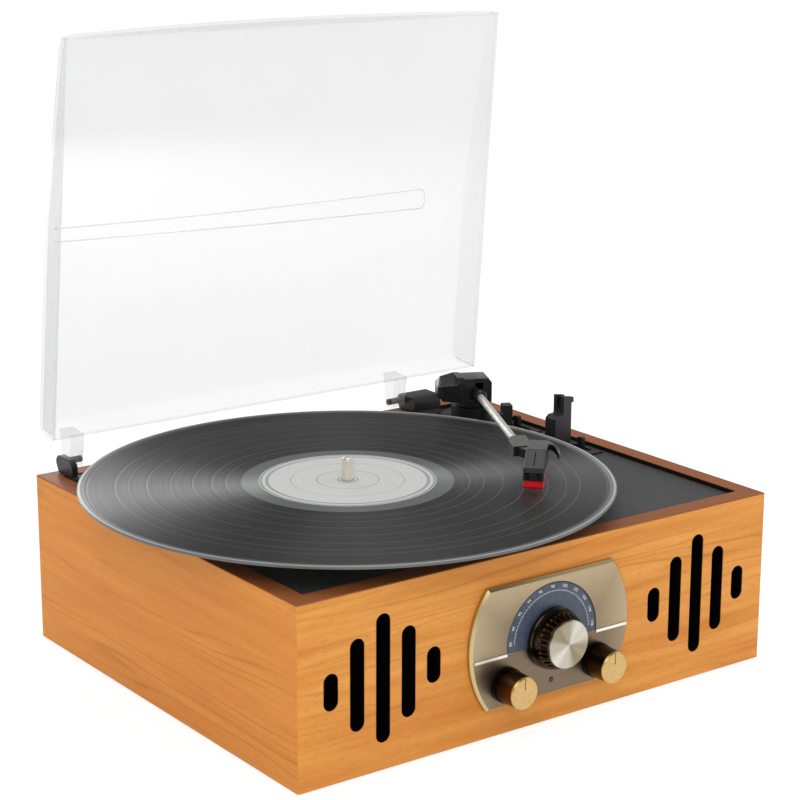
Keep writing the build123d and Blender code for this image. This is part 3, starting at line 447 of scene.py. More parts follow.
def pressed_vinyl():
    """Pressed vinyl: near black and glossy. Fine circular grooves fan the highlights out across them. Thin
    painted highlights ring the smooth gaps between tracks, and the run-out, the rim and the bead on it are
    lighter grey: a painted reflection."""
    material, tree = new_material("pressed_vinyl")
    radius = round_spindle(tree)
    across = {"W": radius, "Scale": 0.35, "Detail": 5.0}
    density = add(tree, "ShaderNodeTexNoise", across, noise_dimensions="1D").outputs["Fac"]
    colour = toned(tree, density, 0.3, 0.7, linear("#1C1C1B"), linear("#272726"))
    # Painted highlight: a thin light ring over each smooth track gap.
    for gap in TRACK_GAPS:
        mark = add(tree, "MULTIPLY", ring_mark(tree, radius, gap, 0.1, 0.3), 0.3)
        colour = add(tree, "blend", mark, colour, linear("#8A8A88"))
    # Painted reflection: the run-out, the rim band and the bead on the rim are mirror grey.
    run_out = add(tree, "remap", radius, 60.2, 59.6)
    colour = add(tree, "blend", run_out, colour, linear("#5F6061"))
    rim = add(tree, "remap", radius, RECORD_R - 4.6, RECORD_R - 3.6)
    colour = add(tree, "blend", rim, colour, linear("#6A6B6A"))
    bead = ring_mark(tree, radius, RECORD_R - 1.2, 0.2, 0.5)
    colour = add(tree, "blend", bead, colour, linear("#B4B5B4"))
    tangent = add(tree, "ShaderNodeTangent", direction_type="UV_MAP", uv_map="UVMap").outputs[0]
    rough = add(tree, "remap", density, 0.3, 0.7, 0.42, 0.50)
    inputs = {"Base Color": colour, "Roughness": rough, "IOR": 1.53, "Anisotropic": 0.92,
              "Anisotropic Rotation": 0.25, "Tangent": tangent, "Specular IOR Level": 0.5}
    return finish_material(material, inputs)


def label_paper():
    """Coated label paper in silver greys, with fine printed rings and a soft sheen."""
    material, tree = new_material("label_paper")
    radius = round_spindle(tree)
    colour = linear("#C6C7C3")
    for ring_r, width, ink in ((48.9, 0.55, "#8B8C8A"), (46.0, 0.22, "#77787A"), (45.0, 0.22, "#77787A"),
                               (32.0, 0.15, "#A3A4A2"), (17.5, 0.2, "#9B9C9A"), (5.6, 0.25, "#8B8C8A")):
        mark = ring_mark(tree, radius, ring_r, width)
        colour = add(tree, "blend", mark, colour, linear(ink))
    fibre = grain(tree, (700,) * 3, 3.0)
    colour = add(tree, "blend", add(tree, "remap", fibre, 0.4, 0.8, 0.0, 0.12), colour, linear("#FFFFFF"))
    return finish_material(material, {"Base Color": colour, "Roughness": 0.42}, (fibre, 0.01))


def clear_styrene():
    """Clear moulded polystyrene, handled and a little hazy: a pale grey sheet, whiter at its thick moulded
    rim, where a painted highlight lightens it, and milkier where its side walls are seen along their length."""
    material, tree = new_material("clear_styrene")
    haze = grain(tree, (14,) * 3, 3.0)
    closed = place(tree, (1000, 1000, 1000), (0, *HINGE), (math.radians(LID_ANGLE), 0, 0))
    parts = add(tree, "ShaderNodeSeparateXYZ", {0: closed})
    rim = add(tree, "remap", parts.outputs["Z"], -3.6, -4.2)
    side = add(tree, "remap", add(tree, "ABSOLUTE", parts.outputs["X"]), 150.0, 153.0)
    edge = add(tree, "ShaderNodeLayerWeight", {"Blend": 0.3}).outputs["Facing"]
    alpha = add(tree, "remap", haze, 0.3, 0.7, -0.006, 0.006)
    # It is moulded thinner towards its front edge.
    for part in (add(tree, "remap", edge, 0.7, 1.0, 0.0, 0.08),
                 add(tree, "remap", parts.outputs["Y"], -220.0, -60.0, 0.158, 0.162),
                 add(tree, "MULTIPLY", side, 0.06), add(tree, "MULTIPLY", rim, 0.12)):
        alpha = add(tree, "ADD", alpha, part)
    # Painted highlight: the rim is lighter than the sheet.
    colour = add(tree, "blend", rim, linear("#BFC1C1"), linear("#E4E5E5"))
    inputs = {"Base Color": colour, "Roughness": add(tree, "remap", haze, 0.3, 0.7, 0.10, 0.2), "IOR": 1.59,
              "Specular IOR Level": 0.25, "Alpha": alpha}
    return finish_material(material, inputs)


def moulded_line():
    """A bead moulded on the clear sheet: its near-white colour is a painted highlight for the light it
    gathers along its length, and it reads as a white line.
    """
    material, tree = new_material("styrene_bead")
    haze = grain(tree, (60,) * 3, 2.0)
    inputs = {"Base Color": linear("#F4F5F5"), "Roughness": 0.2, "IOR": 1.59,
              "Alpha": add(tree, "remap", haze, 0.35, 0.65, 0.35, 0.6)}
    return finish_material(material, inputs)


def woven_cloth():
    """Loudspeaker cloth: plain weave, threads drawn 0.6 mm apart so that they show, matt black."""
    material, tree = new_material("speaker_cloth")
    parts = add(tree, "ShaderNodeSeparateXYZ", {0: place(tree, (1, 1, 1))})
    turns = 10472.0  # radians per metre: one thread each 0.6 mm
    warp, weft = (add(tree, "SINE", add(tree, "MULTIPLY", parts.outputs[axis], turns)) for axis in "XZ")
    height = add(tree, "MULTIPLY", warp, weft)
    colour = toned(tree, height, -1.0, 1.0, linear("#060606"), linear("#161616"))
    inputs = {"Base Color": colour, "Roughness": 0.95, "Sheen Weight": 0.15}
    return finish_material(material, inputs, (height, 0.1))


def printed_scale():
    """Screen-printed dial scale under varnish: slate blue, faintly mottled, with a darker edge."""
    look = bpy.context.scene.player_look
    material, tree = new_material("printed_scale")
    mottle = grain(tree, (400,) * 3, 2.0)
    colour = toned(tree, mottle, 0.3, 0.7, linear("#3F485A"), tuple(look.scale_colour))
    parts = add(tree, "ShaderNodeSeparateXYZ", {0: place(tree, (1000, 1000, 1000), (0, 0, TUNING_Z))})
    flat = add(tree, "ShaderNodeCombineXYZ", {"X": parts.outputs["X"], "Y": parts.outputs["Z"]}).outputs[0]
    radius = add(tree, "ShaderNodeVectorMath", {0: flat}, operation="LENGTH").outputs["Value"]
    edge_r = high_corner("dial_scale").x
    colour = toned(tree, radius, edge_r - 0.9, edge_r - 0.5, colour, linear("#15181F"))
    return finish_material(material, {"Base Color": colour, "Roughness": 0.38}, (mottle, 0.004))


# Turned pieces: a profile in radius and height, swept round its axis by nodes

def new_tree(name, numbers):
    """A geometry tree with named inputs: the geometry, the numbers, and a material."""
    tree = bpy.data.node_groups.new(name, "GeometryNodeTree")
    interface = tree.interface
    interface.new_socket("Geometry", in_out="INPUT", socket_type="NodeSocketGeometry")
    for label, default in numbers.items():
        kind = "NodeSocketInt" if isinstance(default, int) else "NodeSocketFloat"
        interface.new_socket(label, in_out="INPUT", socket_type=kind).default_value = default
    interface.new_socket("Material", in_out="INPUT", socket_type="NodeSocketMaterial")
    interface.new_socket("Geometry", in_out="OUTPUT", socket_type="NodeSocketGeometry")
    return tree, add(tree, "NodeGroupInput").outputs


def end_tree(tree, geometry, material):
    """Ends a geometry tree in Realize Instances and Set Material."""
    real = add(tree, "GeometryNodeRealizeInstances", {0: geometry}).outputs[0]
    dressed = add(tree, "GeometryNodeSetMaterial", {0: real, "Material": material}).outputs[0]
    add(tree, "NodeGroupOutput", {0: dressed})
    return tree


def run_tree(name, mesh, tree, values):
    """Runs a node tree on a mesh and keeps the result as a plain mesh with no modifier."""
    carrier = in_scene(name + "_source", mesh)
    modifier = carrier.modifiers.new("build", "NODES")
    modifier.node_group = tree
    for socket in tree.interface.items_tree:
        if socket.item_type == "SOCKET" and socket.in_out == "INPUT" and socket.name in values:
            modifier[socket.identifier] = values[socket.name]
    made = plain_mesh(carrier)
    made.name = name
    return made


def turned_tree():
    """Sweeps the profile round Z. Flutes are cut between two heights. Closed at its seam and poles."""
    tree, given = new_tree("turned_piece", {"Segments": 96, "Flutes": 0, "Flute Depth": 0.0, "Flute Low": 0.0,
                                            "Flute High": 0.0})
    rows = add(tree, "GeometryNodeAttributeDomainSize", {0: given["Geometry"]}).outputs["Point Count"]
    columns = add(tree, "ADD", given["Segments"], 1.0)
    grid = add(tree, "GeometryNodeMeshGrid", {"Size X": 1.0, "Size Y": 1.0, "Vertices X": columns,
                                              "Vertices Y": rows})
    where = add(tree, "GeometryNodeInputPosition").outputs[0]
    spread = add(tree, "ShaderNodeSeparateXYZ", {0: where})
    angle = add(tree, "MULTIPLY", add(tree, "ADD", spread.outputs["X"], 0.5), math.tau)
    steps = add(tree, "SUBTRACT", rows, 1.0)
    row = add(tree, "MULTIPLY", add(tree, "ADD", spread.outputs["Y"], 0.5), steps)
    row = add(tree, "ROUND", row)
    profile = add(tree, "GeometryNodeSampleIndex", {0: given["Geometry"], "Value": where, "Index": row},
                  data_type="FLOAT_VECTOR").outputs[0]
    section = add(tree, "ShaderNodeSeparateXYZ", {0: profile})
    wave = add(tree, "COSINE", add(tree, "MULTIPLY", angle, given["Flutes"]))
    notch = add(tree, "POWER", add(tree, "MAXIMUM", wave, 0.0), 0.7)
    above = add(tree, "GREATER_THAN", section.outputs["Z"], given["Flute Low"])
    below = add(tree, "LESS_THAN", section.outputs["Z"], given["Flute High"])
    zone = add(tree, "MULTIPLY", above, below)
    cut = add(tree, "MULTIPLY", add(tree, "MULTIPLY", notch, zone), given["Flute Depth"])
    radius = add(tree, "MAXIMUM", add(tree, "SUBTRACT", section.outputs["X"], cut), 0.0)
    x = add(tree, "MULTIPLY", radius, add(tree, "COSINE", angle))
    y = add(tree, "MULTIPLY", radius, add(tree, "SINE", angle))
    swept = add(tree, "ShaderNodeCombineXYZ", {"X": x, "Y": y, "Z": section.outputs["Z"]}).outputs[0]
    mapped = add(tree, "GeometryNodeStoreNamedAttribute", {"Geometry": grid.outputs["Mesh"], "Name": "UVMap",
                                                           "Value": grid.outputs["UV Map"]},
                 data_type="FLOAT2", domain="CORNER").outputs[0]
    shaped = add(tree, "GeometryNodeSetPosition", {"Geometry": mapped, "Position": swept}).outputs[0]
    closed = add(tree, "GeometryNodeMergeByDistance", {"Geometry": shaped, "Distance": 0.000002}).outputs[0]
    return end_tree(tree, closed, given["Material"])


def show(name, mesh, body, replaced=(), sharp_degrees=32.0):
    """Puts a finished mesh in the scene at the origin, on its body."""
    mesh.shade_smooth()
    mesh.set_sharp_from_angle(angle=math.radians(sharp_degrees))
    piece = in_scene(name, mesh)
    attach(piece, body)
    if replaced:
        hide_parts(*replaced)


def profile_mesh(name, points):
    """A polyline of (radius, height) in millimetres for the turning tree."""
    mesh = bpy.data.meshes.new(name + "_profile")
    edges = [(i, i + 1) for i in range(len(points) - 1)]
    mesh.from_pydata([(mm(r), 0.0, mm(z)) for r, z in points], edges, [])
    return mesh


def turn_piece(name, points, material, matrix, segments=96, flutes=0, depth=0.0, low=0.0, high=0.0):
    """A turned mesh, carried to its place in the shared frame."""
    tree = bpy.data.node_groups.get("turned_piece") or turned_tree()
    values = {"Segments": segments, "Flutes": flutes, "Flute Depth": mm(depth), "Flute Low": mm(low),
              "Flute High": mm(high), "Material": material}
    mesh = run_tree(name, profile_mesh(name, points), tree, values)
    mesh.transform(matrix)
    return mesh


def facing_front(x, y, z):
    """Turns a piece made along Z so that its top looks to the front."""
    return Matrix.Translation((mm(x), mm(y), mm(z))) @ Matrix.Rotation(math.radians(90), 4, "X")


def upright(x, y):
    """Carries a piece made along Z to a place on the deck."""
    return Matrix.Translation((mm(x), mm(y), 0.0))


# Faceted moulded pieces: convex blocks joined and cut, with every edge softened

def block(corners):
    """A convex block from its corner points in millimetres."""
    shape = bmesh.new()
    for corner in corners:
        shape.verts.new([mm(c) for c in corner])
    bmesh.ops.convex_hull(shape, input=shape.verts)
    bmesh.ops.dissolve_limit(shape, angle_limit=math.radians(0.5), verts=shape.verts, edges=shape.edges)
    bmesh.ops.recalc_face_normals(shape, faces=shape.faces)
    mesh = bpy.data.meshes.new("block")
    shape.to_mesh(mesh)
    shape.free()
    return mesh


def slab(plan, low, high):
    """An upright block over a convex plan."""
    return block([(x, y, z) for x, y in plan for z in (low, high)])


def cuboid(x0, x1, y0, y1, z0, z1):
    return slab([(x0, y0), (x1, y0), (x1, y1), (x0, y1)], z0, z1)


def side_slab(outline, x0, x1):
    """A block whose convex outline is given in depth and height, from x0 to x1."""
    return block([(x, y, z) for y, z in outline for x in (x0, x1)])


def pin_along_x(x0, x1, y, z, radius, sides=32):
    turns = [math.tau * i / sides for i in range(sides)]
    return side_slab([(y + radius * math.cos(a), z + radius * math.sin(a)) for a in turns], x0, x1)


def pin_along_y(y0, y1, x, z, radius, sides=40):
    turns = [math.tau * i / sides for i in range(sides)]
    return block([(x + radius * math.cos(a), y, z + radius * math.sin(a)) for a in turns for y in (y0, y1)])


def modified(name, mesh, kind, **settings):
    """The mesh after one modifier."""
    carrier = in_scene(name, mesh)
    modifier = carrier.modifiers.new(name, kind)
    for key, value in settings.items():
        setattr(modifier, key, value)
    return plain_mesh(carrier)


def combine(first, second, operation):
    """Joins two closed meshes, or cuts the second out of the first."""
    tool = in_scene("tool", second)
    made = modified("combine", first, "BOOLEAN", operation=operation, object=tool, solver="EXACT")
    bpy.data.objects.remove(tool)
    return made


def join_meshes(name, meshes):
    """One mesh from several that share a material."""
    points, faces = [], []
    for mesh in meshes:
        base = len(points)
        points += [tuple(v.co) for v in mesh.vertices]
        faces += [tuple(base + i for i in p.vertices) for p in mesh.polygons]
    joined = bpy.data.meshes.new(name)
    joined.from_pydata(points, [], faces)
    joined.materials.append(meshes[0].materials[0])
    joined.update()
    return joined


def moulded(name, joined, cuts, material, matrix, soft_mm=0.35):
    """A moulded piece: blocks joined, others cut away, edges rounded, carried to its place."""
    mesh = joined[0]
    for other in joined[1:]:
        mesh = combine(mesh, other, "UNION")
    for other in cuts:
        mesh = combine(mesh, other, "DIFFERENCE")
    mesh = modified("soften", mesh, "BEVEL", width=mm(soft_mm), segments=1, limit_method="ANGLE",
                    angle_limit=math.radians(20), use_clamp_overlap=True)
    mesh.name = name
    coat(mesh, material)
    mesh.transform(matrix)
    return mesh


def bent_horn(plan, low, high, material):
    """A flat finger lift that curls down towards its tip."""
    count = len(plan)
    root = min(x for x, y in plan)
    reach = max(x for x, y in plan) - root
    points = []
    for z in (low, high):
        for x, y in plan:
            drop = 3.8 * ((x - root) / reach) ** 2.5
            points.append((mm(x), mm(y), mm(z - drop)))
    faces = [tuple(reversed(range(count))), tuple(range(count, 2 * count))]
    faces += [(i, (i + 1) % count, count + (i + 1) % count, count + i) for i in range(count)]
    mesh = bpy.data.meshes.new("horn")
    mesh.from_pydata(points, [], faces)
    tidy = bmesh.new()
    tidy.from_mesh(mesh)
    bmesh.ops.recalc_face_normals(tidy, faces=tidy.faces)
    tidy.to_mesh(mesh)
    tidy.free()
    mesh = modified("soften", mesh, "BEVEL", width=mm(0.45), segments=3, limit_method="ANGLE",
                    angle_limit=math.radians(50))
    coat(mesh, material)
    return mesh


def arm_place():
    """The tonearm's own frame: its Y runs back along the tube through the pivot."""
    return upright(*PIVOT) @ Matrix.Rotation(math.radians(-ARM_YAW), 4, "Z")


def headshell_place():
    """The headshell's own frame, over the stylus and turned to the groove."""
    return arm_place() @ upright(*STYLUS) @ Matrix.Rotation(math.radians(-HEADSHELL_TURN), 4, "Z")


# Dial printing

def tick_tree():
    """Marks of one size spread along an arc in the XY plane, pointing at its centre."""
    tree, given = new_tree("dial_ticks", {"Count": 41, "Radius": 0.0275, "Start": 0.2, "Sweep": 2.7,
                                          "Length": 0.0012, "Width": 0.00015, "Rise": 0.00006})
    steps = add(tree, "SUBTRACT", given["Count"], 1.0)
    share = add(tree, "DIVIDE", add(tree, "GeometryNodeInputIndex").outputs[0], steps)
    angle = add(tree, "ADD", given["Start"], add(tree, "MULTIPLY", share, given["Sweep"]))
    x = add(tree, "MULTIPLY", given["Radius"], add(tree, "COSINE", angle))
    y = add(tree, "MULTIPLY", given["Radius"], add(tree, "SINE", angle))
    spot = add(tree, "ShaderNodeCombineXYZ", {"X": x, "Y": y}).outputs[0]
    line = add(tree, "GeometryNodePoints", {"Count": given["Count"], "Position": spot}).outputs[0]
    size = add(tree, "ShaderNodeCombineXYZ", {"X": given["Length"], "Y": given["Width"], "Z": given["Rise"]})
    mark = add(tree, "GeometryNodeMeshCube", {"Size": size.outputs[0]}).outputs["Mesh"]
    turn = add(tree, "ShaderNodeCombineXYZ", {"Z": angle}).outputs[0]
    turn = add(tree, "FunctionNodeEulerToRotation", {0: turn}).outputs[0]
    marks = add(tree, "GeometryNodeInstanceOnPoints", {"Points": line, "Instance": mark, "Rotation": turn})
    return end_tree(tree, marks.outputs[0], given["Material"])


def flat_text(words, height_mm, x, z, turn, y, material):
    """A number as a thin mesh that faces the front."""
    curve = bpy.data.curves.new("number", "FONT")
    curve.body = words
    curve.size = mm(height_mm)
    curve.extrude = mm(0.04)
    curve.align_x = "CENTER"
    curve.align_y = "CENTER"
    mesh = plain_mesh(in_scene("number_source", curve))
    mesh.transform(Matrix.Rotation(turn, 4, "Z"))
    mesh.transform(facing_front(x, y, z))
    coat(mesh, material)
    return mesh


# The lid, drawn closed with its hinge at zero

def lid_wall_height(share):
    """Height of the lid's side walls, from the back (0) to the front (1): level, then a wedge."""
    return 20.5 - 12.0 * max(0.0, share - 0.52) / 0.48


def through(share, spots):
    """The curve that passes through three evenly spread values."""
    first, second, third = spots
    return (first * (1 - share) * (1 - 2 * share) + 4 * second * share * (1 - share)
            + third * share * (2 * share - 1))


def lid_half_width(share):
    return 155.75 - 3.75 * share


def lid_arch(share):
    """How far the crown rises over the side walls in the middle."""
    return 5.0 + 10.0 * share


def lid_row(y, share, drop, across=48):
    """One row of points over the lid at a depth, lowered by a drop where an end wall turns down."""
    half = lid_half_width(share)
    wall = max(lid_wall_height(share) - drop, 0.4)
    top = LID_FOOT + wall
    corner = LID_CORNER
    draft = 1.2
    round_off = min(corner, wall) * 0.8
    row = [(-half, y, LID_FOOT), (-half + draft, y, top - round_off)]
    for i in range(6):
        a = math.pi / 2 * (i + 1) / 6
        row.append((-half + draft + corner * (1 - math.cos(a)), y, top - round_off * (1 - math.sin(a))))
    inner = half - draft - corner
    for i in range(1, across):
        x = -inner + 2 * inner * i / across
        row.append((x, y, top + max(lid_arch(share) - drop * 0.3, 0) * (1 - (x / inner) ** 2)))
    return row + [(-x, y, z) for x, y, z in reversed(row[:8])]


def bead(line, radius, material):
    """A thin moulded bead of six sides along a line of points in millimetres."""
    points, faces = [], []
    for x, y, z in line:
        for k in range(6):
            a = math.tau * k / 6
            points.append((mm(x), mm(y + radius * math.cos(a)), mm(z + radius * math.sin(a))))
    for j in range(len(line) - 1):
        for k in range(6):
            a, b = j * 6 + k, j * 6 + (k + 1) % 6
            faces.append((a, b, b + 6, a + 6))
    last = 6 * (len(line) - 1)
    faces += [tuple(reversed(range(6))), tuple(range(last, last + 6))]
    mesh = bpy.data.meshes.new("bead")
    mesh.from_pydata(points, [], faces)
    mesh.materials.append(material)
    return mesh


# Studio

def seen_ray(tree):
    """1 for rays from the camera, and for those that gloss or clear plastic sends on."""
    rays = add(tree, "ShaderNodeLightPath").outputs
    seen = add(tree, "MAXIMUM", rays["Is Camera Ray"], rays["Is Glossy Ray"])
    return add(tree, "MAXIMUM", seen, rays["Is Transmission Ray"])


def white_sweep():
    """Matt white paper sweep: shows white to the eye and keeps a soft shadow under the object."""
    material, tree = new_material("white_sweep")
    paper = add(tree, "ShaderNodeBsdfDiffuse", {"Color": linear("#F4F4F4")}).outputs[0]
    shade = add(tree, "ShaderNodeBsdfDiffuse", {"Color": linear("#8C8C8C")}).outputs[0]
    glow = add(tree, "ShaderNodeEmission", {"Color": linear("#FFFFFF"), "Strength": 0.85}).outputs[0]
    lit = add(tree, "ShaderNodeAddShader", {0: shade, 1: glow}).outputs[0]
    mixed = add(tree, "ShaderNodeMixShader", {0: seen_ray(tree), 1: paper, 2: lit}).outputs[0]
    add(tree, "ShaderNodeOutputMaterial", {"Surface": mixed})
    return material


def soft_light(name, spot, aim, size, power):
    """A square area light that looks at a point."""
    data = bpy.data.lights.new(name, "AREA")
    data.size = size
    data.energy = power
    lamp = in_scene(name, data)
    lamp.location = spot
    lamp.rotation_euler = (Vector(aim) - Vector(spot)).to_track_quat("-Z", "Y").to_euler()


# What the add-on offers

SWATCH = {"size": 4, "subtype": "COLOR", "min": 0.0, "max": 1.0}


class PlayerLook(bpy.types.PropertyGroup):
    """Sizes and colours that a user may change."""

    veneer_colour: FloatVectorProperty(name="Veneer", description="Light tone of the cherry veneer",
                                       default=linear("#F2A955"), **SWATCH)
    plate_colour: FloatVectorProperty(name="Dial plate", description="Light tone of the brass plate",
                                      default=linear("#B5A283"), **SWATCH)
    scale_colour: FloatVectorProperty(name="Dial scale", description="Light tone of the printed scale",
                                      default=linear("#4E586C"), **SWATCH)
    flutes: IntProperty(name="Flutes", description="Flutes round the tuning knob", default=30, min=8, max=60)
    ticks: IntProperty(name="Ticks", description="Marks along the dial arc", default=41, min=5, max=81)
    key_light: FloatProperty(name="Key light", description="Power of the large front light", default=9.0,
                             min=0.0, unit="POWER")


class PLAYER_OT_finishes(bpy.types.Operator):
    """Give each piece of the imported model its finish"""

    bl_idname = "player.finishes"
    bl_label = "Finishes"

    def execute(self, context):
        black = moulded_plastic("black_abs", "#151516", 0.42)
        gloss = moulded_plastic("gloss_black_abs", "#0B0B0C", 0.3, 3.0, 0.001)
        top_lit_plastic()
        steel = brushed_metal("nickelled_steel", "#D6D0C2", 0.2, (900, 900, 60), 0.2, 0.0008)
        nickel = brushed_metal("polished_nickel", "#EEE7D8", 0.16, (900, 900, 60), 0.0, 0.0005, 0.6)
        tube = brushed_metal("satin_aluminium", "#E6E3DA", 0.5, (300, 300, 300), 0.0, 0.001, 0.8)
        grey = brushed_metal("plated_can", "#8C8C8E", 0.35, (400, 400, 400), 0.2)
        rubber = moulded_plastic("black_rubber", "#131313", 0.75, 0.3, 0.03)
        raw = mottled("raw_fibreboard")
        front = cherry_veneer(SLOTTED_VENEER, "X")
        along_x = cherry_veneer("cherry_veneer_long", "X")
        along_y = cherry_veneer("cherry_veneer_side", "Y")
        knob = bronze_knob()
        finishes = {
            front: ("front_board",),
            along_x: ("back_board",),
            along_y: ("left_board", "right_board"),
            raw: ("base_panel", "cabinet_battens"),
            rubber: ("feet", "drive_belt", "slip_mat"),
            leatherette(): ("deck_plate",),
            woven_cloth(): ("grille_cloths",),
            mottled("paper_cone"): ("speaker_cones",),
            grey: ("speaker_frames", "motor", "motor_bracket"),
            antique_brass(): ("dial_plate",),
            printed_scale(): ("dial_scale",),
            mottled("smoked_styrene"): ("indicator_lens",),
            black: ("tuning_control", "function_control", "volume_control", "socket_plate", "power_inlet",
                    "switch_plates", "switch_bodies", "speed_lever", "stop_lever", "arm_base", "arm_turret",
                    "arm_pivot_block", "arm_collar", "headshell_neck", "cartridge", "arm_rest", "rest_clip",
                    "hinge_bracket_left", "hinge_bracket_right", "hinge_pins"),
            gloss: ("arm_housing", "headshell"),
            mottled("circuit_board"): ("amplifier_board",),
            nickel: ("spindle",),
            steel: ("spindle_bearing", "phono_sockets", "screws", "motor_pulley",
                    "tuning_shaft", "volume_shaft", "function_shaft"),
            tube: ("arm_tube", "platter"),
            mottled("clear_red_styrene"): ("stylus",),
            knob: ("volume_knob", "function_knob"),
            clear_styrene(): ("lid",),
            label_paper(): ("record_label",),
            turned_metal("tool_marked", "#888888", 0.3, 0.0): ("tuning_knob", "tuning_knob_cap", "record"),
        }
        for material, names in finishes.items():
            for name in names:
                coat(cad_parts[name].data, material)
        return {"FINISHED"}


class PLAYER_OT_record(bpy.types.Operator):
    """Turn the record with its raised rim, track gaps and label recess"""

    bl_idname = "player.record"
    bl_label = "Record"

    def execute(self, context):
        edge = RECORD_R
        top = RECORD_TOP
        land = top - 0.35
        points = [(HOLE_R, top - 0.3), (53.0, top - 0.3), (54.0, top - 0.3), (55.0, land), (58.0, land)]
        # Track gaps: shallow smooth rings between the grooved bands, with flat land kept on both sides.
        for gap in TRACK_GAPS:
            points += [(gap - 1.2, land), (gap - 0.5, land), (gap - 0.3, land - 0.06),
                       (gap + 0.3, land - 0.06), (gap + 0.5, land), (gap + 1.2, land)]
        points += [(edge - 3.8, land), (edge - 3.4, land), (edge - 2.2, top - 0.12), (edge - 0.9, top),
                   (edge - 0.4, top - 0.12), (edge, top - 0.5), (edge, top - 0.95), (edge - 0.3, top - 1.5),
                   (edge - 1.0, top - 1.68), (HOLE_R, top - 1.68), (HOLE_R, top - 0.3)]
        mesh = turn_piece("record_disc", points, pressed_vinyl(), upright(*SPINDLE), segments=240)
        show("record_disc", mesh, "turntable", ("record",), 40.0)
        return {"FINISHED"}


class PLAYER_OT_knobs(bpy.types.Operator):
    """Turn the fluted tuning knob and its spun face"""

    bl_idname = "player.knobs"
    bl_label = "Tuning knob"

    def execute(self, context):
        look = context.scene.player_look
        base = high_corner("tuning_knob").y
        length = base - TUNING_FRONT_Y
        cap_thickness = 1.6
        cap_low = length - cap_thickness
        grip = [(3.1, 0.0), (17.0, 0.0), (17.3, 0.3), (17.2, 2.0), (16.6, 2.6), (16.4, 5.0)]
        grip += [(16.3 - 2.4 * i / 8, 5.2 + 6.2 * i / 8) for i in range(9)]
        grip += [(13.8, cap_low - 0.4), (13.5, cap_low - 0.05), (3.1, cap_low - 0.05), (3.1, 0.0)]
        metal = turned_metal("bronze_plated_grip", "#43362A", 0.2, 0.2)
        mesh = turn_piece("tuning_grip", grip, metal, facing_front(0, base, TUNING_Z),
                          look.flutes * 10, look.flutes, 0.7, 6.9, 11.6)
        show("tuning_grip", mesh, "tuning", ("tuning_knob",), 28.0)
        cap = [(0.0, cap_low), (13.2, cap_low), (13.3, cap_low + 0.15), (13.3, length - 0.5),
               (13.0, length - 0.15), (12.6, length), (9.0, length), (4.5, length), (0.0, length)]
        # The spun face carries a painted fan highlight in two lobes.
        spun = turned_metal("spun_champagne", "#A3957A", 0.3, 0.9, 0.5)
        mesh = turn_piece("tuning_face", cap, spun, facing_front(0, base, TUNING_Z), 160)
        show("tuning_face", mesh, "tuning", ("tuning_knob_cap",), 28.0)
        return {"FINISHED"}


class PLAYER_OT_dial(bpy.types.Operator):
    """Print the arc, its ticks and the numbers on the dial scale"""

    bl_idname = "player.dial"
    bl_label = "Dial printing"

    def execute(self, context):
        look = context.scene.player_look
        ink = mottled("white_ink")
        tree = tick_tree()
        meshes = []
        common = {"Start": math.radians(3), "Sweep": math.radians(174), "Rise": mm(0.08), "Material": ink}
        for values in ({"Count": look.ticks, "Radius": mm(26.3), "Length": mm(0.9), "Width": mm(0.14)},
                       {"Count": 170, "Radius": mm(25.8), "Length": mm(0.22), "Width": mm(0.49)}):
            mesh = run_tree("dial_marks", bpy.data.meshes.new("tick_seed"), tree, dict(common, **values))
            mesh.transform(facing_front(0, SCALE_FACE_Y, TUNING_Z))
            meshes.append(mesh)
        number_r, number_height, end_gap = 28.4, 2.5, math.radians(4)
        for index in range(11):
            angle = math.pi - end_gap - (math.pi - 2 * end_gap) * index / 10
            x = number_r * math.cos(angle)
            z = TUNING_Z + number_r * math.sin(angle)
            turn = angle - math.pi / 2
            meshes.append(flat_text(str(88 + 2 * index), number_height, x, z, turn, SCALE_FACE_Y, ink))
        printing = join_meshes("dial_printing", meshes)
        show("dial_printing", printing, "cabinet")
        return {"FINISHED"}


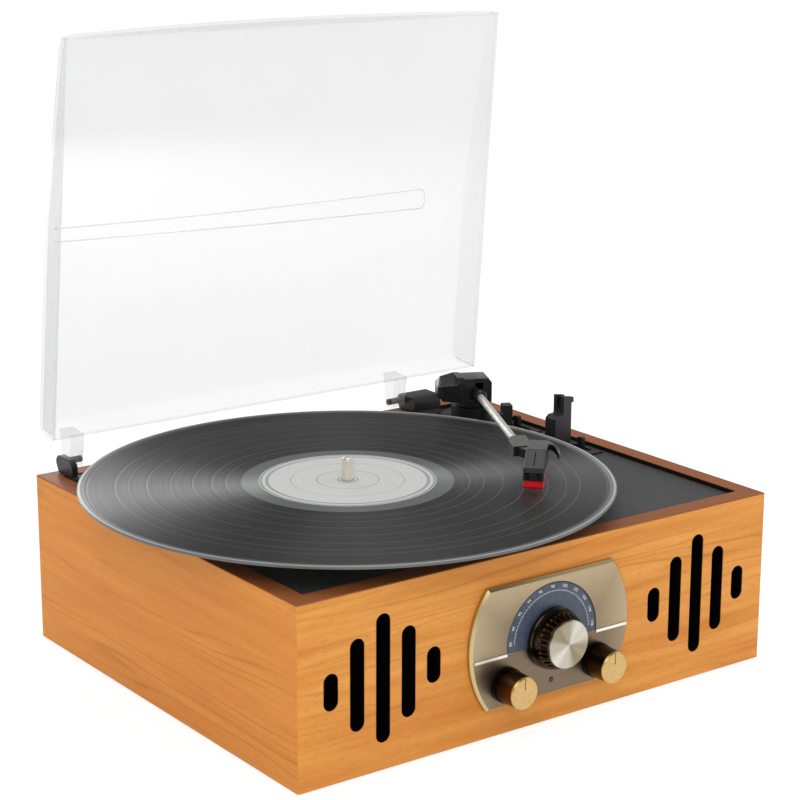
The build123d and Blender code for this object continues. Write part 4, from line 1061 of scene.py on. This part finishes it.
class PLAYER_OT_tonearm(bpy.types.Operator):
    """Mould the pivot housing, the headshell with its finger lift, the cartridge and the stylus guard"""

    bl_idname = "player.tonearm"
    bl_label = "Tonearm"

    def execute(self, context):
        black = bpy.data.materials["gloss_black_abs"]
        arm, head = arm_place(), headshell_place()

        low, high = ARM_Z - 5.2, ARM_Z + 10.0
        roof = [(-22, low), (-22, high), (-4, high), (13, high - 7.5), (13, low)]
        case = side_slab(roof, -9.6, 6.4)
        corner = block([(6.2, y, z) for y, z in roof]
                       + [(8.2, -22, low), (8.2, -22, high - 2.6), (8.2, -4, high - 2.6),
                          (8.2, 12, high - 9.5), (8.2, 12, low)])
        ridge = [(-22.6, low), (-22.6, high - 2.6), (-19.6, high + 0.5), (-4, high + 0.5), (13, high - 7),
                 (13, low)]
        rib = side_slab(ridge, -13.2, -9.4)
        wing = block([(-12.8, -21.8, low), (-12.8, -21.8, high - 3.8), (-23.0, -21.8, high - 4.4),
                      (-23.0, -21.8, low + 1.4), (-25.6, -18.4, high - 5.2), (-25.6, -18.4, low + 6.4),
                      (-22.6, -9, high - 0.4), (-12.8, -2, high), (-25.2, -6, high - 4.4),
                      (-12.8, 12, high - 7.5), (-12.8, 12, low), (-20, 10, high - 8), (-20, 10, low),
                      (-24.4, -4, low + 1.4)])
        hollow = [(-16, low - 1), (-16, high - 2.2), (-4, high - 2.2), (10, high - 7), (10, low - 1)]
        cavity = side_slab(hollow, -6.4, 6.4)
        slot = cuboid(-2.7, 2.7, -24, -14, ARM_Z - 2.9, ARM_Z + 7.4)
        mesh = moulded("pivot_housing", [case, corner, rib, wing], [cavity, slot], black, arm)
        pin = pin_along_x(-7.0, 7.0, 0, ARM_Z, 1.5)
        pin.materials.append(black)
        pin.transform(arm)
        show("pivot_housing", join_meshes("pivot_housing", [mesh, pin]), "arm_carriage",
             ("arm_housing",), 14.0)

        # The tube lies a degree off the line of its pivot, as assembled.
        off = arm @ Matrix.Rotation(math.radians(TUBE_SLEW), 4, "Z")
        from_front = Matrix.Rotation(math.radians(90), 4, "X")
        profile = [(2.4, 0.0), (4.3, 0.0), (4.6, 0.4), (4.4, 2.6), (3.8, 5.8), (3.5, 6.2), (2.4, 6.2),
                   (2.4, 0.0)]
        start = off @ Matrix.Translation((0, mm(-24.2), mm(ARM_Z))) @ from_front
        mesh = turn_piece("tube_collar", profile, black, start, 72)
        show("tube_collar", mesh, "arm", ("arm_collar",), 30.0)
        tube_start = 4.0
        length = TUBE_END - tube_start
        bore_r, edge_r = TUBE_R - 0.6, TUBE_R - 0.2
        profile = [(bore_r, length), (bore_r, 26.0), (0.0, 26.0), (0.0, 0.0), (edge_r, 0.0), (TUBE_R, 0.2)]
        profile += [(TUBE_R, length * i / 12) for i in range(1, 12)]
        profile += [(TUBE_R, length - 0.2), (edge_r, length), (bore_r, length)]
        drawn = bpy.data.materials["satin_aluminium"]
        start = off @ Matrix.Translation((0, mm(-tube_start), mm(ARM_Z))) @ from_front
        mesh = turn_piece("arm_tube_drawn", profile, drawn, start, 64)
        show("arm_tube_drawn", mesh, "arm", ("arm_tube",), 40.0)

        top, rear, lip = 133.6, 29.0, 124.2
        satin = bpy.data.materials["satin_black_abs"]
        outline = [(rear, top), (10.5, top), (-5.0, lip + 2.8), (-5.6, lip), (-4.6, lip - 0.8),
                   (rear, lip - 0.8)]
        hood = side_slab(outline, -5.6, 5.6)
        hollow = side_slab([(rear - 2, top - 1.6), (11, top - 1.6), (-3.4, lip + 1.6), (-3.4, lip - 3),
                            (rear - 2, lip - 3)], -4.2, 4.2)
        cut = [(8.0, top + 1), (8.0, top - 2.6), (-3.2, lip + 2.2), (-3.2, lip + 6.0)]
        slit = side_slab(cut, -0.22, 0.22)
        legs = [cuboid(x - 0.7, x + 0.7, -5.4, -1.5, lip - 4.6, lip) for x in (-4.9, 4.9)]
        legs.append(cuboid(-2.2, 1.6, -5.4, -4.9, lip - 2.6, lip))
        hood = moulded("headshell_hood", [hood, *legs], [hollow, slit], satin, head, 0.3)
        horn = [(5.2, 28.5), (7.4, 28.6), (9.6, 26.4), (11.4, 23.2), (12.3, 19.6), (12.2, 16.6), (10.9, 16.9),
                (10.2, 19.6), (8.9, 21.8), (7.2, 22.9), (5.2, 23.2)]
        lift = bent_horn(horn, top - 3.9, top - 0.5, black)
        lift.transform(head)
        show("headshell_hood", hood, "arm", ("headshell",), 14.0)
        show("finger_lift", lift, "arm", (), 24.0)

        under = ARM_Z - 2.9
        plan = [(-5.3, -130), (-0.6, -128.5), (4.2, -129), (3.2, -143), (0.2, -151), (-8.5, -152),
                (-8.3, -138)]
        neck = slab(plan, under, ARM_Z + 2.9)
        bridge = slab([(-4, -138), (3, -138), (9.2, -163), (2.4, -166.5), (-6, -151)], under, ARM_Z + 2.2)
        bore = pin_along_y(-TUBE_END - 0.5, -112.0, 0, ARM_Z, TUBE_R + 0.04)
        bore.transform(Matrix.Rotation(math.radians(TUBE_SLEW), 4, "Z"))
        mesh = moulded("headshell_neck_block", [neck, bridge], [bore], satin, arm, 0.3)
        show("headshell_neck_block", mesh, "arm", ("headshell_neck",), 14.0)

        shell = bpy.data.materials["black_abs"]
        body = cuboid(-4.6, 4.6, -3.6, 12, 119.1, 126.4)
        step = cuboid(-2.1, 2.1, -4.6, -3.0, 119.3, 123.2)
        post = cuboid(-4.0, 4.0, 8.5, 10.5, 126, 130)
        gaps = [cuboid(x - 0.7, x + 0.7, -5, -2.4, 119.8, 127) for x in (-3.2, 3.2)]
        mesh = moulded("pickup_cartridge", [body, step, post], gaps, shell, head, 0.25)
        show("pickup_cartridge", mesh, "arm", ("cartridge",), 14.0)

        red = bpy.data.materials["clear_red_styrene"]
        guard = side_slab([(-4, 115.8), (-4, 119), (8, 119), (8, 114.3), (-2.6, 114.3)], -5.3, 5.3)
        ear = side_slab([(-3.6, 118.8), (-2.4, 124.0), (3.5, 124.0), (3.5, 118.8)], 4.75, 5.4)
        tip_r = 0.45
        turns = [math.tau * i / 12 for i in range(12)]
        tip = slab([(tip_r * math.cos(a), tip_r * math.sin(a)) for a in turns], 112.95, 117.0)
        mesh = moulded("stylus_guard", [guard, ear], [], red, head, 0.3)
        tip.materials.append(red)
        tip.transform(head)
        mesh = join_meshes("stylus_guard", [mesh, tip])
        show("stylus_guard", mesh, "arm", ("stylus",), 14.0)
        return {"FINISHED"}


class PLAYER_OT_lid(bpy.types.Operator):
    """Mould the clear lid with its crown, end walls, cross ribs and hinge lugs"""

    bl_idname = "player.lid"
    bl_label = "Clear lid"

    def execute(self, context):
        clear = bpy.data.materials["clear_styrene"]
        back, front = LID_BACK, LID_FRONT
        rows = []
        ends = ((0.0, 5.5), (0.5, 3.0), (1.6, 1.2), (3.4, 0.3), (6.0, 0.0))
        for inset, drop in ends:
            rows.append(lid_row(back - inset, 0.0, drop))
        for i in range(1, 32):
            share = i / 32
            rows.append(lid_row(back + (front - back) * share, share, 0.0))
        for inset, drop in reversed(ends):
            rows.append(lid_row(front + inset, 1.0, drop * 0.5))
        width = len(rows[0])
        points = [tuple(mm(c) for c in point) for row in rows for point in row]
        faces = []
        for j in range(len(rows) - 1):
            for i in range(width - 1):
                a = j * width + i
                faces.append((a, a + 1, a + 1 + width, a + width))
        last = (len(rows) - 1) * width
        faces += [tuple(reversed(range(width))), tuple(range(last, last + width))]
        sheet = bpy.data.meshes.new("lid_sheet")
        sheet.from_pydata(points, [], faces)
        tidy = bmesh.new()
        tidy.from_mesh(sheet)
        bmesh.ops.triangulate(tidy, faces=[f for f in tidy.faces if len(f.verts) > 4])
        bmesh.ops.recalc_face_normals(tidy, faces=tidy.faces)
        middle_face = max(tidy.faces, key=lambda f: f.calc_center_median().z)
        if middle_face.normal.z < 0:
            bmesh.ops.reverse_faces(tidy, faces=tidy.faces)
        tidy.to_mesh(sheet)
        tidy.free()
        shell = modified("lid_wall", sheet, "SOLIDIFY", thickness=mm(2.0), offset=-1.0, use_even_offset=False)
        coat(shell, clear)
        meshes = [shell]
        for x in LUG_STARTS:
            end = x + LUG_WIDTH
            web = side_slab([(-17.5, -5.4), (0, -LUG_R), (0, LUG_R), (-17.5, 8.4)], x, end)
            lug = combine(web, pin_along_x(x, end, 0, 0, LUG_R), "UNION")
            lug = combine(lug, pin_along_x(x - 1, end + 1, 0, 0, 2.06), "DIFFERENCE")
            coat(lug, clear)
            meshes.append(lug)
        lid = join_meshes("clear_lid", meshes)
        place_open = (Matrix.Translation((0, mm(HINGE[0]), mm(HINGE[1])))
                      @ Matrix.Rotation(math.radians(-LID_ANGLE), 4, "X"))
        lid.transform(place_open)
        show("clear_lid", lid, "lid", ("lid",), 40.0)

        white = moulded_line()
        # One bead runs along the crown, turns round at its right end and comes back.
        steps = [i / 40 for i in range(41)]
        left, right = RIB_ENDS
        path = [(left + (right - left) * t, through(t, RIB_FAR)) for t in steps]
        gap = RIB_NEAR[2] - RIB_FAR[2]
        for i in range(1, 12):
            a = math.pi * i / 12
            path.append((right + 3.0 * math.sin(a), RIB_FAR[2] + gap * (1 - math.cos(a)) / 2))
        path += [(left + (right - left) * t, through(t, RIB_NEAR)) for t in reversed(steps)]
        line = []
        for x, y in path:
            share = (y - back) / (front - back)
            inner = lid_half_width(share) - 4.2
            rise = lid_arch(share) * (1 - (x / inner) ** 2)
            line.append((x, y, LID_FOOT - 2.2 + lid_wall_height(share) + rise))
        ribs = bead(line, 0.4, white)
        ribs.transform(place_open)
        show("lid_ribs", ribs, "lid", (), 60.0)
        return {"FINISHED"}


class PLAYER_OT_hinges(bpy.types.Operator):
    """Mould the hinge brackets: a rounded cheek on the left, a ramped block on the right"""

    bl_idname = "player.hinges"
    bl_label = "Hinge brackets"

    def execute(self, context):
        black = bpy.data.materials["black_abs"]
        wall, rim = low_corner("back_board").y, high_corner("back_board").z + 0.2
        axis_y, axis_z = HINGE
        for name, run_off in (("hinge_bracket_left", 0.0), ("hinge_bracket_right", 8.0)):
            low, high = low_corner(name), high_corner(name)
            right = high.x - run_off if run_off else LUG_STARTS[0] - 0.3
            eye = [(axis_y + 4.2 * math.cos(a), axis_z + 4.2 * math.sin(a))
                   for a in (math.radians(-30 + 12 * i) for i in range(11))]
            brow = [(wall - 3.5 + 5.0 * math.cos(a), axis_z - 1.0 + 5.0 * math.sin(a))
                    for a in (math.radians(90 + 15 * i) for i in range(7))]
            head = side_slab(eye + brow + [(wall - 8.5, rim), (axis_y + 1.5, rim)], low.x, right)
            stem = side_slab([(wall - 12.0, low.z), (wall - 0.2, low.z), (wall - 0.2, rim + 1.0),
                              (wall - 8.0, rim + 1.0)], low.x, right)
            joined = [stem, head]
            if run_off:
                front, back, start, end = wall - 15.8, wall - 0.2, right - 4.0, high.x - 1.0
                joined.append(block([(start, front, low.z), (start, back, low.z),
                                     (start, wall - 12.0, rim - 1.0), (start, back, rim - 1.0),
                                     (end, front, low.z), (end, back, low.z)]))
            else:
                joined.append(cuboid(low.x, high.x, wall - 14.0, wall - 0.2, low.z, low.z + 2.0))
            eyelet = pin_along_x(low.x - 1, high.x + 1, axis_y, axis_z, 2.02)
            mesh = moulded(name + "_cheek", joined, [eyelet], black, Matrix.Identity(4), 0.4)
            show(name + "_cheek", mesh, "cabinet", (name,), 14.0)
        return {"FINISHED"}


class PLAYER_OT_stage(bpy.types.Operator):
    """Set up the floor, the soft lights and the camera"""

    bl_idname = "player.stage"
    bl_label = "Studio"

    def execute(self, context):
        scene = context.scene
        floor_mesh = bpy.data.meshes.new("studio_floor")
        reach = 6.0
        floor_z = mm(-1.25)
        corners = [(x * reach, y * reach, floor_z) for x, y in ((-1, -1), (1, -1), (1, 1), (-1, 1))]
        floor_mesh.from_pydata(corners, [], [(0, 1, 2, 3)])
        floor = in_scene("studio_floor", floor_mesh)
        coat(floor_mesh, white_sweep())

        world = bpy.data.worlds.new("studio_world")
        scene.world = world
        world.use_nodes = True
        tree = world.node_tree
        tree.nodes.clear()
        seen = seen_ray(tree)
        ambient = add(tree, "ShaderNodeBackground", {"Color": linear("#FFFFFF"), "Strength": 0.72})
        # The white paper ends a little above the horizon, and the room over it is dim.
        height = add(tree, "ShaderNodeSeparateXYZ", {0: add(tree, "ShaderNodeTexCoord").outputs["Generated"]})
        white = add(tree, "remap", height.outputs["Z"], 0.10, 0.24, 1.0, 0.26)
        backdrop = add(tree, "ShaderNodeBackground", {"Color": linear("#FFFFFF"), "Strength": white})
        mixed = add(tree, "ShaderNodeMixShader", {0: seen, 1: ambient.outputs[0], 2: backdrop.outputs[0]})
        add(tree, "ShaderNodeOutputWorld", {"Surface": mixed.outputs[0]})

        # Each light: place, aim and side length in metres, and its share of the key light
        for name, spot, aim, size, share in (
                ("key_softbox", (-0.9, -1.5, 1.5), (0, 0, 0.05), 1.2, 1.0),
                ("fill_softbox", (1.6, -0.7, 0.9), (0, 0, 0.05), 0.9, 0.3),
                ("top_softbox", (0.5, 0.45, 1.8), (0, 0, 0.1), 1.1, 0.75),
                ("left_strip", (0.35, 2.0, 0.75), (-0.05, 0, 0.1), 0.9, 1.35),
                ("right_strip", (1.8, 0.8, 0.75), (0, 0, 0.1), 0.25, 0.03)):
            soft_light(name, spot, aim, size, scene.player_look.key_light * share)

        camera_data = bpy.data.cameras.new("product_camera")
        camera = in_scene("product_camera", camera_data)
        camera_data.sensor_width = 36.0
        camera_data.lens = 98.02
        camera_data.clip_start = 0.05
        camera_data.clip_end = 50.0
        yaw, pitch, roll = (math.radians(a) for a in (36.349, 14.693, -0.201))
        ahead = Vector((math.sin(yaw) * math.cos(pitch), math.cos(yaw) * math.cos(pitch), -math.sin(pitch)))
        level = Vector((math.cos(yaw), -math.sin(yaw), 0.0))
        down = ahead.cross(level)
        right = level * math.cos(roll) + down * math.sin(roll)
        under = down * math.cos(roll) - level * math.sin(roll)
        camera.matrix_world = Matrix((right, -under, -ahead)).transposed().to_4x4()
        camera.location = (mm(-713.9), mm(-973.4), mm(466.5))
        scene.camera = camera
        scene.view_settings.view_transform = "Standard"
        return {"FINISHED"}


class PLAYER_PT_panel(bpy.types.Panel):
    """Lists what can be built"""

    bl_idname = "PLAYER_PT_panel"
    bl_label = "Record player"
    bl_space_type = "VIEW_3D"
    bl_region_type = "UI"
    bl_category = "Record player"

    def draw(self, context):
        for step in STEPS:
            self.layout.operator(step.bl_idname)
        for name in PlayerLook.__annotations__:
            self.layout.prop(context.scene.player_look, name)


STEPS = (PLAYER_OT_finishes, PLAYER_OT_record, PLAYER_OT_knobs, PLAYER_OT_dial, PLAYER_OT_tonearm,
         PLAYER_OT_lid, PLAYER_OT_hinges, PLAYER_OT_stage)


def register():
    for item in (PlayerLook, *STEPS, PLAYER_PT_panel):
        bpy.utils.register_class(item)
    bpy.types.Scene.player_look = PointerProperty(type=PlayerLook)


def unregister():
    del bpy.types.Scene.player_look
    for item in (PLAYER_PT_panel, *reversed(STEPS), PlayerLook):
        bpy.utils.unregister_class(item)


def main():
    register()
    for step in STEPS:
        group, name = step.bl_idname.split(".")
        getattr(getattr(bpy.ops, group), name)()


if __name__ == "__main__":
    main()
